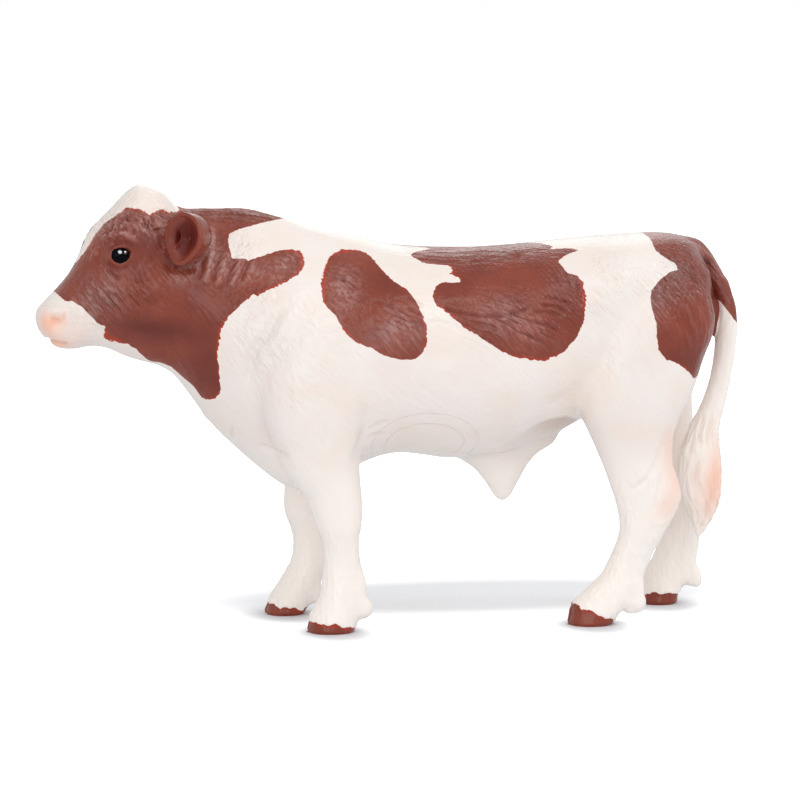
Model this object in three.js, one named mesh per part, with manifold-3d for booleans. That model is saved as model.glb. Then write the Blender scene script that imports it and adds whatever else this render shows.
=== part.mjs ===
// Toy farm animal: a polled bull figure of soft cast plastic, joined from eleven pieces.
// Millimetres, +Z up. The head points along -X, the left flank faces -Y, the soles lie on Z = 0.
import * as THREE from 'three';
import { ParametricGeometry } from 'three/addons/geometries/ParametricGeometry.js';
import { mergeVertices } from 'three/addons/utils/BufferGeometryUtils.js';
import Module from 'manifold-3d';

const wasm = await Module();
wasm.setup();

// Driving sizes
const GAP = 0.3;          // clearance between two castings at a joint
const REACH = 200;        // size of a block that cuts away everything on one side of a plane
const NECK_SEAM = -37;    // the head's joint lies in the folds of the neck
const FORE_SEAM = 25.2;   // height of the joint above the knee
const HIND_SEAM = 34.5;   // height of the joint above the hock
const HIND_START = 33;    // the hind legs' joints lie behind this, and the sheath ahead of it
const TAIL_SEAM = { x: 63.9, z: 71.4, angle: -0.8 };
const FOOT_MIDDLE = 12.4; // distance of each hoof's middle from the centre plane
const LIMB_ROUND = 2.2;   // how square a limb's section is
const DEWCLAW = [2.5, 1.3, 1.6];
const DEWCLAW_LEAN = 0.5;
const DEWCLAW_SPREAD = 2.1;
const CLEFT = { width: 1.3, length: 6, top: 4, lean: 0.35, ahead: 0.2, below: 1 };
const SCROTUM = { middle: [47.5, 0, 40.5], radii: [4.4, 4.2, 5.6], lean: 0.1 };
const EYE = { x: -55.2, y: 9.1, z: 74.4, wide: 2.1, deep: 1.7, tall: 1.8, lean: 0.2 };
const EAR = {
  x: -42.2, y: 13.2, z: 77.9, wide: 4.6, deep: 5, tall: 5.3, lean: 0.15, wall: 0.9, open: 3.2, lead: 0.3,
};
const BOSS_TAPER = 0.92;
const BOSS_ROOT = 1.5;    // how deep a boss is rooted in its own casting

// How many facets go around and along each form
const FACETS = {
  trunk: [32, 64], leg: [14, 32], tail: [12, 28], sheath: [14, 14], egg: 18, dewclaw: 8, boss: 24,
};

// Sections of the trunk from the nose to the rump, each across the body between two profile points:
// top x, top z, low x, low z, half width, height of the widest place (0 low, 1 top), and how square
// the upper and the lower half are (2 is an ellipse, more is boxier, less is keeled)
const TRUNK = [
  [-70.7, 61.9, -70.7, 61.9, 0, 0.5, 2.2, 2.2],
  [-70.4, 63.3, -70.4, 60.2, 3.4, 0.5, 2.2, 2.2],
  [-69.4, 64.5, -69.5, 58.5, 5.7, 0.5, 2.3, 2.3],
  [-67.9, 66.1, -67.9, 57.0, 6.9, 0.46, 2.3, 2.4],
  [-65.8, 68.3, -66.4, 55.9, 7.3, 0.42, 2.2, 2.5],
  [-63.7, 71.0, -63.2, 55.6, 6.9, 0.42, 2.1, 2.5],
  [-61.8, 74.7, -60.0, 56.1, 7.1, 0.5, 2.1, 2.3],
  [-59.4, 79.2, -56.6, 55.6, 8.4, 0.6, 2.4, 2.1],
  [-56.3, 82.0, -53.2, 54.0, 9.8, 0.67, 2.6, 2.0],
  [-53.3, 85.5, -49.8, 52.9, 10.5, 0.68, 2.5, 1.9],
  [-50.0, 88.0, -46.6, 52.0, 10.6, 0.66, 2.1, 1.9],
  [-46.0, 86.9, -43.6, 50.2, 10.4, 0.6, 1.8, 1.9],
  [-42.4, 83.3, -40.4, 46.2, 10.9, 0.55, 1.7, 1.9],
  [-36.0, 83.1, -36.2, 40.4, 12.4, 0.5, 1.65, 1.8],
  [-29.0, 82.9, -31.4, 35.6, 14.2, 0.47, 1.65, 1.8],
  [-22.0, 81.2, -26.4, 31.2, 16.4, 0.46, 1.75, 1.8],
  [-15.0, 79.0, -21.0, 27.4, 18.3, 0.46, 1.9, 1.9],
  [-8.0, 77.5, -14.5, 26.6, 19.6, 0.48, 2.0, 2.0],
  [0.0, 75.7, -7.4, 31.6, 20.4, 0.48, 2.2, 2.1],
  [8.0, 75.0, 1.0, 34.0, 21.2, 0.46, 2.3, 2.1],
  [16.0, 74.8, 11.0, 32.6, 21.8, 0.46, 2.35, 2.1],
  [24.0, 75.2, 22.0, 33.2, 21.5, 0.48, 2.35, 2.1],
  [32.0, 76.0, 30.5, 35.6, 20.6, 0.52, 2.3, 2.0],
  [40.0, 76.7, 38.0, 39.6, 18.9, 0.57, 2.3, 2.0],
  [48.0, 77.2, 46.0, 43.2, 18.2, 0.6, 2.3, 2.0],
  [55.0, 77.4, 53.2, 46.4, 16.8, 0.6, 2.2, 2.0],
  [59.8, 76.6, 58.4, 50.0, 14.4, 0.6, 2.2, 2.0],
  [62.6, 73.6, 61.9, 54.6, 11.0, 0.55, 2.2, 2.0],
  [63.8, 69.8, 63.8, 60.2, 6.4, 0.5, 2.0, 2.0],
  [64.2, 65.4, 64.2, 65.4, 0, 0.5, 2.0, 2.0],
];

// Sections of the limbs from top to toe:
// rear x, rear z, front x, front z, half width, distance of the middle from the body's centre plane
const SHOULDER = [
  [-13.0, 70.0, -13.0, 70.0, 0, 8.0],
  [-4.0, 64.0, -22.0, 66.0, 5.4, 10.8],
  [-2.0, 54.0, -27.4, 55.0, 7.6, 12.2],
  [-4.4, 45.4, -28.2, 45.6, 7.9, 12.6],
  [-7.2, 38.8, -26.0, 37.4, 7.3, 12.8],
  [-8.4, 33.0, -22.8, 31.0, 6.3, 12.8],
];
const FORE_NEAR = [
  [-8.1, 27.8, -19.4, 27.0, 5.4, 12.8],
  [-7.8, 23.8, -17.9, 23.0, 5.0, 12.7],
  [-8.2, 20.4, -16.8, 20.0, 4.6, 12.6],
  [-8.6, 17.0, -15.6, 16.8, 3.9, 12.5],
  [-8.1, 12.6, -15.7, 12.4, 3.6, 12.4],
  [-7.4, 8.6, -16.1, 8.4, 4.0, 12.4],
  [-7.8, 5.2, -17.3, 5.2, 4.3, 12.4],
  [-8.8, 2.8, -18.4, 3.0, 4.7, 12.4],
  [-9.3, 0.8, -18.9, 0.8, 4.9, 12.4],
  [-9.5, -1.2, -19.0, -1.2, 4.9, 12.4],
  [-14.2, -3.0, -14.2, -3.0, 0, 12.4],
];
const FORE_FAR = [
  [-8.8, 27.8, -19.6, 27.0, 5.4, 12.8],
  [-9.7, 23.8, -19.7, 23.0, 5.0, 12.7],
  [-10.6, 20.4, -19.3, 20.0, 4.6, 12.6],
  [-10.9, 17.0, -18.0, 16.8, 3.9, 12.5],
  [-10.6, 12.6, -17.8, 12.6, 3.6, 12.4],
  [-11.2, 8.6, -19.3, 8.8, 4.0, 12.4],
  [-12.9, 5.2, -21.3, 5.4, 4.3, 12.4],
  [-14.4, 2.8, -22.7, 3.0, 4.7, 12.4],
  [-15.2, 0.8, -23.7, 0.8, 4.9, 12.4],
  [-15.4, -1.2, -24.0, -1.2, 4.9, 12.4],
  [-19.4, -3.0, -19.4, -3.0, 0, 12.4],
];
const HIND_NEAR = [
  [52.0, 73.0, 52.0, 73.0, 0, 8.0],
  [61.6, 68.4, 41.0, 69.0, 7.6, 9.4],
  [64.0, 59.8, 36.4, 60.0, 9.8, 10.2],
  [61.4, 52.6, 34.4, 50.6, 9.6, 10.6],
  [59.0, 46.0, 35.8, 42.6, 8.1, 12.0],
  [55.4, 39.4, 38.8, 36.2, 6.5, 12.6],
  [54.8, 32.6, 41.5, 29.6, 4.9, 12.8],
  [56.8, 25.6, 43.8, 22.8, 4.2, 12.7],
  [54.1, 19.4, 44.2, 18.4, 3.9, 12.6],
  [51.3, 14.6, 42.9, 14.6, 3.4, 12.5],
  [49.6, 10.6, 41.0, 10.6, 3.5, 12.4],
  [48.0, 6.8, 38.4, 6.8, 4.0, 12.4],
  [45.4, 3.6, 35.6, 3.6, 4.5, 12.4],
  [43.2, 1.2, 34.0, 1.2, 4.7, 12.4],
  [42.5, -1.0, 33.6, -1.0, 4.7, 12.4],
  [38.0, -3.0, 38.0, -3.0, 0, 12.4],
];
const HIND_FAR = [
  [52.0, 73.0, 52.0, 73.0, 0, 8.0],
  [61.6, 68.4, 41.0, 69.0, 7.6, 9.4],
  [65.0, 59.8, 37.4, 60.0, 9.8, 10.2],
  [65.4, 52.4, 37.0, 50.0, 9.6, 10.6],
  [65.4, 45.4, 40.4, 41.0, 8.1, 12.0],
  [65.8, 38.6, 46.8, 34.4, 6.5, 12.6],
  [67.2, 32.0, 54.4, 28.4, 4.9, 12.8],
  [68.8, 25.8, 60.0, 23.2, 4.2, 12.7],
  [68.2, 19.6, 61.4, 18.6, 3.9, 12.6],
  [67.4, 14.6, 59.6, 14.4, 3.4, 12.5],
  [67.0, 10.4, 57.9, 10.4, 3.5, 12.4],
  [65.9, 6.6, 56.0, 6.6, 4.0, 12.4],
  [63.6, 3.6, 55.1, 3.6, 4.5, 12.4],
  [62.7, 1.2, 54.7, 1.2, 4.7, 12.4],
  [62.4, -1.0, 54.5, -1.0, 4.7, 12.4],
  [58.4, -3.0, 58.4, -3.0, 0, 12.4],
];
const TAIL = [
  [58.4, 72.6, 58.4, 72.6, 0, 0],
  [62.4, 76.4, 59.6, 69.8, 3.1, 0],
  [65.4, 74.0, 62.2, 69.0, 3.0, 0],
  [68.2, 70.4, 65.0, 67.8, 2.7, 0],
  [70.3, 65.4, 66.8, 64.6, 2.4, 0],
  [71.5, 61.0, 67.2, 60.6, 2.2, 0],
  [71.6, 55.6, 66.9, 55.4, 2.1, 0],
  [70.8, 49.8, 66.4, 50.0, 2.0, 0],
  [69.6, 43.6, 64.7, 43.8, 2.1, 0],
  [68.2, 38.8, 62.5, 39.0, 2.4, 0],
  [67.9, 34.0, 60.4, 34.0, 2.9, 0],
  [68.4, 27.4, 59.7, 28.0, 3.1, 0],
  [68.0, 21.6, 60.7, 22.2, 2.6, 0],
  [66.6, 18.4, 62.1, 18.8, 1.6, 0],
  [64.4, 15.9, 64.4, 15.9, 0, 0],
];
const SHEATH = [
  [23.0, 41.0, 23.0, 41.0, 0, 0],
  [34.6, 36.8, 10.0, 36.4, 7.4, 0],
  [30.9, 33.8, 13.4, 32.6, 5.6, 0],
  [28.5, 31.4, 16.6, 30.6, 4.2, 0],
  [26.9, 28.8, 18.8, 28.2, 3.3, 0],
  [25.6, 26.4, 20.3, 26.0, 2.4, 0],
  [24.5, 24.4, 21.5, 24.2, 1.5, 0],
  [22.9, 23.3, 22.9, 23.3, 0, 0],
];

// Muscles and bones that lift the skin of the trunk: middle x, y (both sides), z, radius, rise
const MUSCLES = [
  [-55.0, 8.6, 79.4, 5.5, 0.9],    // brow
  [-49.0, 9.0, 63.5, 9.0, 1.2],    // cheek
  [-66.8, 4.6, 62.4, 3.6, 0.5],    // nostril pad
  [-44.0, 9.6, 78.0, 5.0, 0.7],    // root of the ear
  [-24.0, 15.0, 62.0, 12.0, 1.0],  // side of the neck
  [-3.0, 19.0, 62.0, 12.0, 0.9],   // shoulder blade
  [14.0, 21.0, 50.0, 18.0, 0.7],   // ribs
  [45.0, 15.0, 73.0, 8.0, 0.9],    // hip bone
  [62.0, 8.5, 68.0, 6.0, 0.8],     // pin bone
];

// Joins a three.js mesh's shared corners and drops the flat triangles at its poles.
function closed(geometry) {
  const bare = geometry.clone();
  bare.deleteAttribute('normal');
  bare.deleteAttribute('uv');
  const merged = mergeVertices(bare, 1e-4);
  const index = merged.index.array;
  const corners = [];
  for (let k = 0; k < index.length; k += 3) {
    const [a, b, c] = index.slice(k, k + 3);
    if (a !== b && b !== c && c !== a) corners.push(a, b, c);
  }
  merged.setIndex(corners);
  merged.computeVertexNormals();
  return merged;
}

// Makes a closed three.js mesh into a solid.
function toSolid(geometry) {
  const skin = closed(geometry);
  return new wasm.Manifold(new wasm.Mesh({
    numProp: 3,
    vertProperties: new Float32Array(skin.attributes.position.array),
    triVerts: new Uint32Array(skin.index.array),
  }));
}

// Gives a solid back as a three.js geometry.
function toGeometry(solid) {
  const { vertProperties, triVerts } = solid.getMesh();
  const geometry = new THREE.BufferGeometry();
  geometry.setAttribute('position', new THREE.BufferAttribute(vertProperties, 3));
  geometry.setIndex(new THREE.BufferAttribute(triVerts, 1));
  geometry.computeVertexNormals();
  return geometry;
}

// Point of a rounded section: cos or sin of the angle, squared off by an exponent.
function squared(value, square) {
  return Math.sign(value) * Math.abs(value) ** (2 / square);
}

// Skins a row of sections. Each ring lies in the plane through its two profile points and across.
function loft(sections, [around, along]) {
  const curve = (i, j) => new THREE.SplineCurve(sections.map((s) => new THREE.Vector2(s[i], s[j])));
  const first = curve(0, 1);
  const second = curve(2, 3);
  const width = curve(4, 5);
  const square = curve(6, 7);
  const offset = curve(8, 8);
  return closed(new ParametricGeometry((u, v, target) => {
    const angle = 2 * Math.PI * (u % 1);
    const a = first.getPoint(v);
    const b = second.getPoint(v);
    const size = width.getPoint(v);
    const round = square.getPoint(v);
    const rise = Math.sin(angle);
    const power = rise < 0 ? round.y : round.x;
    const room = rise < 0 ? size.y : 1 - size.y;
    const share = size.y + squared(rise, power) * room;
    const side = v === 0 || v === 1 ? 0 : size.x * squared(Math.cos(angle), power);
    target.set(b.x + (a.x - b.x) * share, offset.getPoint(v).x + side, b.y + (a.y - b.y) * share);
  }, around, along));
}

// Lifts the skin smoothly around each listed muscle, on both sides of the body.
function swell(geometry, muscles) {
  const place = geometry.attributes.position;
  const normal = geometry.attributes.normal;
  const point = new THREE.Vector3();
  const outward = new THREE.Vector3();
  for (let k = 0; k < place.count; k += 1) {
    point.fromBufferAttribute(place, k);
    outward.fromBufferAttribute(normal, k);
    let lift = 0;
    for (const [x, y, z, radius, rise] of muscles) {
      const distance = Math.hypot(point.x - x, Math.abs(point.y) - y, point.z - z) / radius;
      if (distance < 1) lift += rise * (1 - distance ** 2) ** 2;
    }
    point.addScaledVector(outward, lift);
    place.setXYZ(k, point.x, point.y, point.z);
  }
  return geometry;
}

// A limb's sections, given by their rear and front points, on one side of the body (-1 left, 1 right).
// Play makes it thicker all round, for the groove that it lies in.
function limb(sections, side, facets, play = 0) {
  const rows = sections.map(([rx, rz, fx, fz, half, middle]) => [
    rx + play, rz, fx - play, fz, half + play, 0.5, LIMB_ROUND, LIMB_ROUND, middle * side,
  ]);
  return toSolid(loft(rows, facets));
}

// A block between two corners.
function block(low, high) {
  const geometry = new THREE.BoxGeometry(high[0] - low[0], high[1] - low[1], high[2] - low[2]);
  geometry.translate((low[0] + high[0]) / 2, (low[1] + high[1]) / 2, (low[2] + high[2]) / 2);
  return toSolid(geometry);
}

// An egg-shaped solid, leaned about the body's Y axis.
function egg(middle, radii, lean = 0, around = FACETS.egg) {
  const geometry = new THREE.SphereGeometry(1, around, Math.round(around * 0.6));
  geometry.scale(...radii);
  geometry.rotateY(lean);
  geometry.translate(...middle);
  return toSolid(geometry);
}

// A tapered locating boss from a base point along a direction, flat on one side so that it can't turn.
function boss({ base, toward, radius, length, flat }, play) {
  const wide = radius + play;
  const tall = length + play;
  const geometry = new THREE.CylinderGeometry(wide * BOSS_TAPER, wide, tall + BOSS_ROOT, FACETS.boss);
  geometry.translate(0, (tall - BOSS_ROOT) / 2, 0);
  let solid = toSolid(geometry);
  if (flat) {
    const side = new THREE.BoxGeometry(wide, 4 * tall, 4 * wide);
    side.translate(flat + play + wide / 2, 0, 0);
    solid = solid.subtract(toSolid(side));
  }
  const turn = new THREE.Quaternion().setFromUnitVectors(
    new THREE.Vector3(0, 1, 0), new THREE.Vector3(...toward).normalize());
  const place = new THREE.Matrix4().compose(new THREE.Vector3(...base), turn, new THREE.Vector3(1, 1, 1));
  return solid.transform(place.toArray());
}

// The block beyond a plane: it starts at a point and runs on along a direction in the XZ plane.
function beyond(x, z, angle, start = 0) {
  const geometry = new THREE.BoxGeometry(REACH, REACH, REACH);
  geometry.translate(REACH / 2 + start, 0, 0);
  geometry.rotateY(-angle);
  geometry.translate(x, 0, z);
  return toSolid(geometry);
}

// Two-toed hoof: a narrow cleft between the claws, open at the front and below.
function cleft(toe, side) {
  const outline = new THREE.Shape([
    new THREE.Vector2(0, CLEFT.width / 2),
    new THREE.Vector2(CLEFT.length, 0),
    new THREE.Vector2(0, -CLEFT.width / 2),
  ]);
  const geometry = new THREE.ExtrudeGeometry(outline, { depth: CLEFT.top + CLEFT.below, bevelEnabled: false });
  geometry.rotateY(CLEFT.lean);
  geometry.translate(toe - CLEFT.ahead, side * FOOT_MIDDLE, -CLEFT.below);
  return toSolid(geometry);
}

// One leg from the shoulder or hip down to flat claws, with its two dewclaws behind the pastern.
function leg(sections, side, toe, [dewclawX, dewclawZ]) {
  let solid = limb(sections, side, FACETS.leg);
  for (const spread of [-DEWCLAW_SPREAD, DEWCLAW_SPREAD]) {
    const middle = [dewclawX, side * FOOT_MIDDLE + spread, dewclawZ];
    solid = solid.add(egg(middle, DEWCLAW, DEWCLAW_LEAN, FACETS.dewclaw));
  }
  return solid.subtract(cleft(toe, side)).subtract(block([-REACH, -REACH, -REACH], [REACH, REACH, 0]));
}

// The eye's drop of lacquer, or with some play the socket that it sits in.
function eye(side, play = 0) {
  return egg([EYE.x, side * EYE.y, EYE.z], [EYE.wide + play, EYE.deep + play, EYE.tall + play], EYE.lean);
}

// The outside of an ear, or with some play the seat that it leaves in the head.
function earShell(side, play = 0) {
  return egg([EAR.x, side * EAR.y, EAR.z], [EAR.wide + play, EAR.deep + play, EAR.tall + play], EAR.lean);
}

// A cupped ear, open to the side, on its round peg.
function ear(side) {
  const scoop = [EAR.wide - EAR.wall, EAR.deep, EAR.tall - EAR.wall];
  const hollow = egg([EAR.x - EAR.lead, side * (EAR.y + EAR.open), EAR.z], scoop, EAR.lean);
  return earShell(side).subtract(hollow).add(boss(EAR_BOSS(side), 0));
}

// Bosses that locate the castings: where each starts, which way it points, and its size
const EAR_BOSS = (side) => ({
  base: [EAR.x, side * (EAR.y - EAR.deep + EAR.wall), EAR.z],
  toward: [0, -side, 0],
  radius: 1.3,
  length: 3,
});
const BOSSES = {
  head: { base: [NECK_SEAM, 0, 60], toward: [1, 0, 0], radius: 6, length: 6, flat: 4.6 },
  fore_leg_left: { base: [-13.2, -12.8, FORE_SEAM], toward: [0, 0, 1], radius: 2.8, length: 5, flat: 2 },
  fore_leg_right: { base: [-14.4, 12.8, FORE_SEAM], toward: [0, 0, 1], radius: 2.8, length: 5, flat: 2 },
  hind_leg_left: { base: [48, -12.6, HIND_SEAM], toward: [0, 0, 1], radius: 3, length: 5, flat: 2.2 },
  hind_leg_right: { base: [57.4, 12.6, HIND_SEAM], toward: [0, 0, 1], radius: 3, length: 5, flat: 2.2 },
  tail: {
    base: [TAIL_SEAM.x, 0, TAIL_SEAM.z],
    toward: [-Math.cos(TAIL_SEAM.angle), 0, -Math.sin(TAIL_SEAM.angle)],
    radius: 1.5,
    length: 3.5,
    flat: 1.1,
  },
};

// The skin of the whole figure, before it is parted into castings
const tail = limb(TAIL, 1, FACETS.tail);
const trunk = toSolid(swell(loft(TRUNK.map((row) => [...row, 0]), FACETS.trunk), MUSCLES));
const skin = [
  trunk,
  limb(SHEATH, 1, FACETS.sheath),
  egg(SCROTUM.middle, SCROTUM.radii, SCROTUM.lean),
  tail.subtract(beyond(TAIL_SEAM.x, TAIL_SEAM.z, TAIL_SEAM.angle)),
  leg([...SHOULDER, ...FORE_NEAR], -1, -19, [-8.4, 5.2]),
  leg([...SHOULDER, ...FORE_FAR], 1, -24, [-14.4, 4.2]),
  leg(HIND_NEAR, -1, 33.6, [46.2, 4.6]),
  leg(HIND_FAR, 1, 54.5, [65.4, 5.1]),
].reduce((whole, form) => whole.add(form));

// What each parted casting takes of the skin: a block that stops at its joint
function share(name, play) {
  return {
    head: () => beyond(NECK_SEAM, 0, Math.PI, play),
    fore_leg_left: () => block([-REACH, -REACH, -REACH], [0, 0, FORE_SEAM - play]),
    fore_leg_right: () => block([-REACH, 0, -REACH], [0, REACH, FORE_SEAM - play]),
    hind_leg_left: () => block([HIND_START, -REACH, -REACH], [REACH, 0, HIND_SEAM - play]),
    hind_leg_right: () => block([HIND_START, 0, -REACH], [REACH, REACH, HIND_SEAM - play]),
  }[name]();
}

// A casting parted from the skin, with the boss that enters the torso.
function casting(name) {
  const whole = name === 'tail' ? tail : skin;
  const part = name === 'tail'
    ? beyond(TAIL_SEAM.x, TAIL_SEAM.z, TAIL_SEAM.angle, GAP)
    : share(name, GAP);
  return whole.intersect(part).add(boss(BOSSES[name], 0));
}

// The torso: the skin less every other casting's share and the sockets for their bosses.
function torso() {
  const groove = limb(TAIL, 1, FACETS.tail, GAP);
  let solid = skin.subtract(groove.intersect(beyond(TAIL_SEAM.x, TAIL_SEAM.z, TAIL_SEAM.angle)));
  for (const [name, pin] of Object.entries(BOSSES)) {
    if (name !== 'tail') solid = solid.subtract(share(name, 0));
    solid = solid.subtract(boss(pin, GAP));
  }
  return solid;
}

// The head, with its eye sockets and the seats of the ears.
function head() {
  let solid = casting('head');
  for (const side of [-1, 1]) {
    solid = solid.subtract(eye(side, GAP)).subtract(earShell(side, GAP)).subtract(boss(EAR_BOSS(side), GAP));
  }
  return solid;
}

const CREAM = { color: 0xf3e7df, roughness: 0.42, metalness: 0 };
const BROWN = { color: 0x7e3d31, roughness: 0.4, metalness: 0 };
const BLACK = { color: 0x0b0b12, roughness: 0.06, metalness: 0 };

const figure = new THREE.Group();
const pieces = [
  ['torso', torso(), CREAM],
  ['head', head(), BROWN],
  ['ear_left', ear(-1), BROWN],
  ['ear_right', ear(1), BROWN],
  ['eye_left', eye(-1), BLACK],
  ['eye_right', eye(1), BLACK],
  ['fore_leg_left', casting('fore_leg_left'), CREAM],
  ['fore_leg_right', casting('fore_leg_right'), CREAM],
  ['hind_leg_left', casting('hind_leg_left'), CREAM],
  ['hind_leg_right', casting('hind_leg_right'), CREAM],
  ['tail', casting('tail'), CREAM],
];
for (const [name, solid, finish] of pieces) {
  const mesh = new THREE.Mesh(toGeometry(solid), new THREE.MeshStandardMaterial(finish));
  mesh.name = name;
  figure.add(mesh);
}

// The origin lies on the floor below the middle of the figure
const bounds = new THREE.Box3().setFromObject(figure);
figure.position.set(-(bounds.min.x + bounds.max.x) / 2, -(bounds.min.y + bounds.max.y) / 2, 0);

export default figure;
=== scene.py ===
import logging
import math
from dataclasses import dataclass, field
from enum import Enum
from typing import Sequence

import bmesh
import bpy
import numpy as np
from mathutils import Matrix, Vector


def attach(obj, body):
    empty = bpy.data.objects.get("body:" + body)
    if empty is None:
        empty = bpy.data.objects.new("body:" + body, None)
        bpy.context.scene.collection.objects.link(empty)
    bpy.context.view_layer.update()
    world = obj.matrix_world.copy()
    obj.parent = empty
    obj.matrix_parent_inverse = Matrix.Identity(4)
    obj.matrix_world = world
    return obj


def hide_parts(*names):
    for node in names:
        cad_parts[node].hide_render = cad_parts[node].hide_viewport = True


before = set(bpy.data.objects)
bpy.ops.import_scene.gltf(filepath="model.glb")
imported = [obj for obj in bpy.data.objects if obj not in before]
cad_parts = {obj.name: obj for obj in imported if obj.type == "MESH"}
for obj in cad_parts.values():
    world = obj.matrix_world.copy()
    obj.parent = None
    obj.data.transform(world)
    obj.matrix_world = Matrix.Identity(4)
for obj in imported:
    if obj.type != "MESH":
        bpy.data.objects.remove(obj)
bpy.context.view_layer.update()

LOG = logging.getLogger("farm_figure")
MILLIMETRE = 0.001
FAR = 1e9
TINY = 1e-9
POLE = 1e-6
SAME_PLACE = 1e-6
CUT_REACH = 1e-4
SQUARE_ON = 0.999
SEED_STEP = 17.31
CELL_PRIMES = np.array([73856093, 19349663, 83492791])
HASH_ROUNDS = ((13, 1274126177), (16, 1103515245))
HASH_MASK = 0x7FFFFFFF
MARK_FALLOFF = 2.2
MOUND_FALLOFF = 1.5
LEAST_AREA = 0.02
LOCK_CURL = 2.4
LOCK_FINER = 1.9
LOCK_SHARES = (0.7, 0.3)
SEEN = (-0.05, 0.25)
BROAD = (-0.05, 0.85)
SIDEWAYS = (0.12, 0.5)
DEEPEST = 6.0
WHITE = (1.0, 1.0, 1.0, 1.0)

Colour = tuple[float, float, float]
Place = tuple[float, float, float]
Pixel = tuple[float, float]


class Side(Enum):
    """Which flank of the figure: the left one faces the camera."""

    LEFT = -1
    RIGHT = 1


class Way(Enum):
    """Which way the hair lies, in degrees below the body's rear."""

    REAR = 6.0
    SLANT = 50.0
    DOWN = 84.0
    RISE = -52.0


def ease(low: float, high: float, value: np.ndarray) -> np.ndarray:
    """Smooth step from 0 at low to 1 at high.

    Args:
        low: where the step starts.
        high: where the step ends.
        value: numbers to step.

    Returns:
        The stepped numbers.
    """
    share = np.clip((value - low) / (high - low), 0.0, 1.0)
    return share * share * (3.0 - 2.0 * share)


def grain(points: np.ndarray, seed: int) -> np.ndarray:
    """Smooth noise with one lump per unit, the same on every run.

    Args:
        points: places, one row each, already divided by the size of a lump.
        seed: picks another pattern.

    Returns:
        A number from -1 to 1 for each point.
    """
    shifted = points + seed * SEED_STEP
    cell = np.floor(shifted).astype(np.int64)
    part = shifted - cell
    part = part * part * part * (part * (part * 6.0 - 15.0) + 10.0)
    noise = np.zeros(len(points))
    for corner in np.ndindex(2, 2, 2):
        at = cell + np.array(corner)
        first, second, third = (at * CELL_PRIMES).T
        mixed = first ^ second ^ third
        for shift, factor in HASH_ROUNDS:
            mixed = (mixed ^ (mixed >> shift)) * factor & HASH_MASK
        weight = np.prod(np.where(corner, part, 1.0 - part), axis=1)
        noise += weight * (mixed / (HASH_MASK // 2) - 1.0)
    return noise


def ridged(points: np.ndarray, seed: int) -> np.ndarray:
    """Smooth noise folded into sharp crests: 1 on a crest, down to -1."""
    return 1.0 - 2.0 * np.abs(grain(points, seed))


def bell(value: np.ndarray | float, middle: float, width: float) -> np.ndarray | float:
    """Bell curve: 1 at its middle, falling off over its width."""
    return np.exp(-(((value - middle) / width) ** 2))


def capped(values: np.ndarray) -> np.ndarray:
    """Keeps distances from an edge of the paint within what the finish needs."""
    return np.clip(values, -DEEPEST, DEEPEST)


def along_and_across(away: np.ndarray, degrees: float) -> tuple[np.ndarray, np.ndarray]:
    """Measures places along a turned direction, and across it."""
    turn = math.radians(degrees)
    along = away[:, 0] * math.cos(turn) + away[:, 1] * math.sin(turn)
    return along, away[:, 1] * math.cos(turn) - away[:, 0] * math.sin(turn)


@dataclass(frozen=True)
class PhotoCamera:
    """The photograph's camera: a long lens, a little ahead of the left flank and above it.

    Angles are in degrees and lengths in millimetres of the part's frame.
    """

    azimuth: float = -10.5
    elevation: float = 5.7
    distance: float = 750.0
    target: Place = (1.5125, 0.0, 44.3)
    scale: float = 5.0
    middle: float = 400.0
    sensor: float = 36.0
    clip: tuple[float, float] = (0.05, 20.0)

    def axes(self) -> tuple[np.ndarray, np.ndarray, np.ndarray]:
        """Returns the directions to the right, up and back towards the camera."""
        turn, lift = math.radians(self.azimuth), math.radians(self.elevation)
        back = np.array([
            math.sin(turn) * math.cos(lift), -math.cos(turn) * math.cos(lift), math.sin(lift),
        ])
        right = np.array([math.cos(turn), math.sin(turn), 0.0])
        return right, np.cross(back, right), back

    def pixels(self, points: np.ndarray) -> np.ndarray:
        """Finds where points show in the photograph.

        Args:
            points: places in millimetres, one row each.

        Returns:
            Pixels across and down, one row each.
        """
        right, up, back = self.axes()
        seen = points - np.array(self.target)
        depth = self.distance - seen @ back
        across = self.scale * self.distance * (seen @ right) / depth
        down = self.scale * self.distance * (seen @ up) / depth
        return np.stack([self.middle + across, self.middle - down], axis=1)

    def place(self) -> None:
        """Makes the camera and gives it to the scene."""
        data = bpy.data.cameras.new("photo_camera")
        data.sensor_width = self.sensor
        data.lens = self.sensor * self.scale * self.distance / (2.0 * self.middle)
        data.clip_start, data.clip_end = self.clip
        camera = build_object("photo_camera", data)
        back = Vector(self.axes()[2])
        camera.location = (Vector(self.target) + back * self.distance) * MILLIMETRE
        camera.rotation_mode = "QUATERNION"
        camera.rotation_quaternion = (-back).to_track_quat("-Z", "Y")
        bpy.context.scene.camera = camera


VIEW = PhotoCamera()


def distance_to(points: np.ndarray, start: np.ndarray, end: np.ndarray) -> tuple[np.ndarray, np.ndarray]:
    """Measures points against one straight stretch.

    Args:
        points: places, one row each.
        start: the stretch's first end.
        end: its other end.

    Returns:
        The distance from the stretch, and how far along it (0 to 1) the nearest place is.
    """
    run = end - start
    along = np.clip(((points - start) @ run) / max(float(run @ run), TINY), 0.0, 1.0)
    return np.linalg.norm(points - start - along[:, None] * run, axis=1), along


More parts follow.
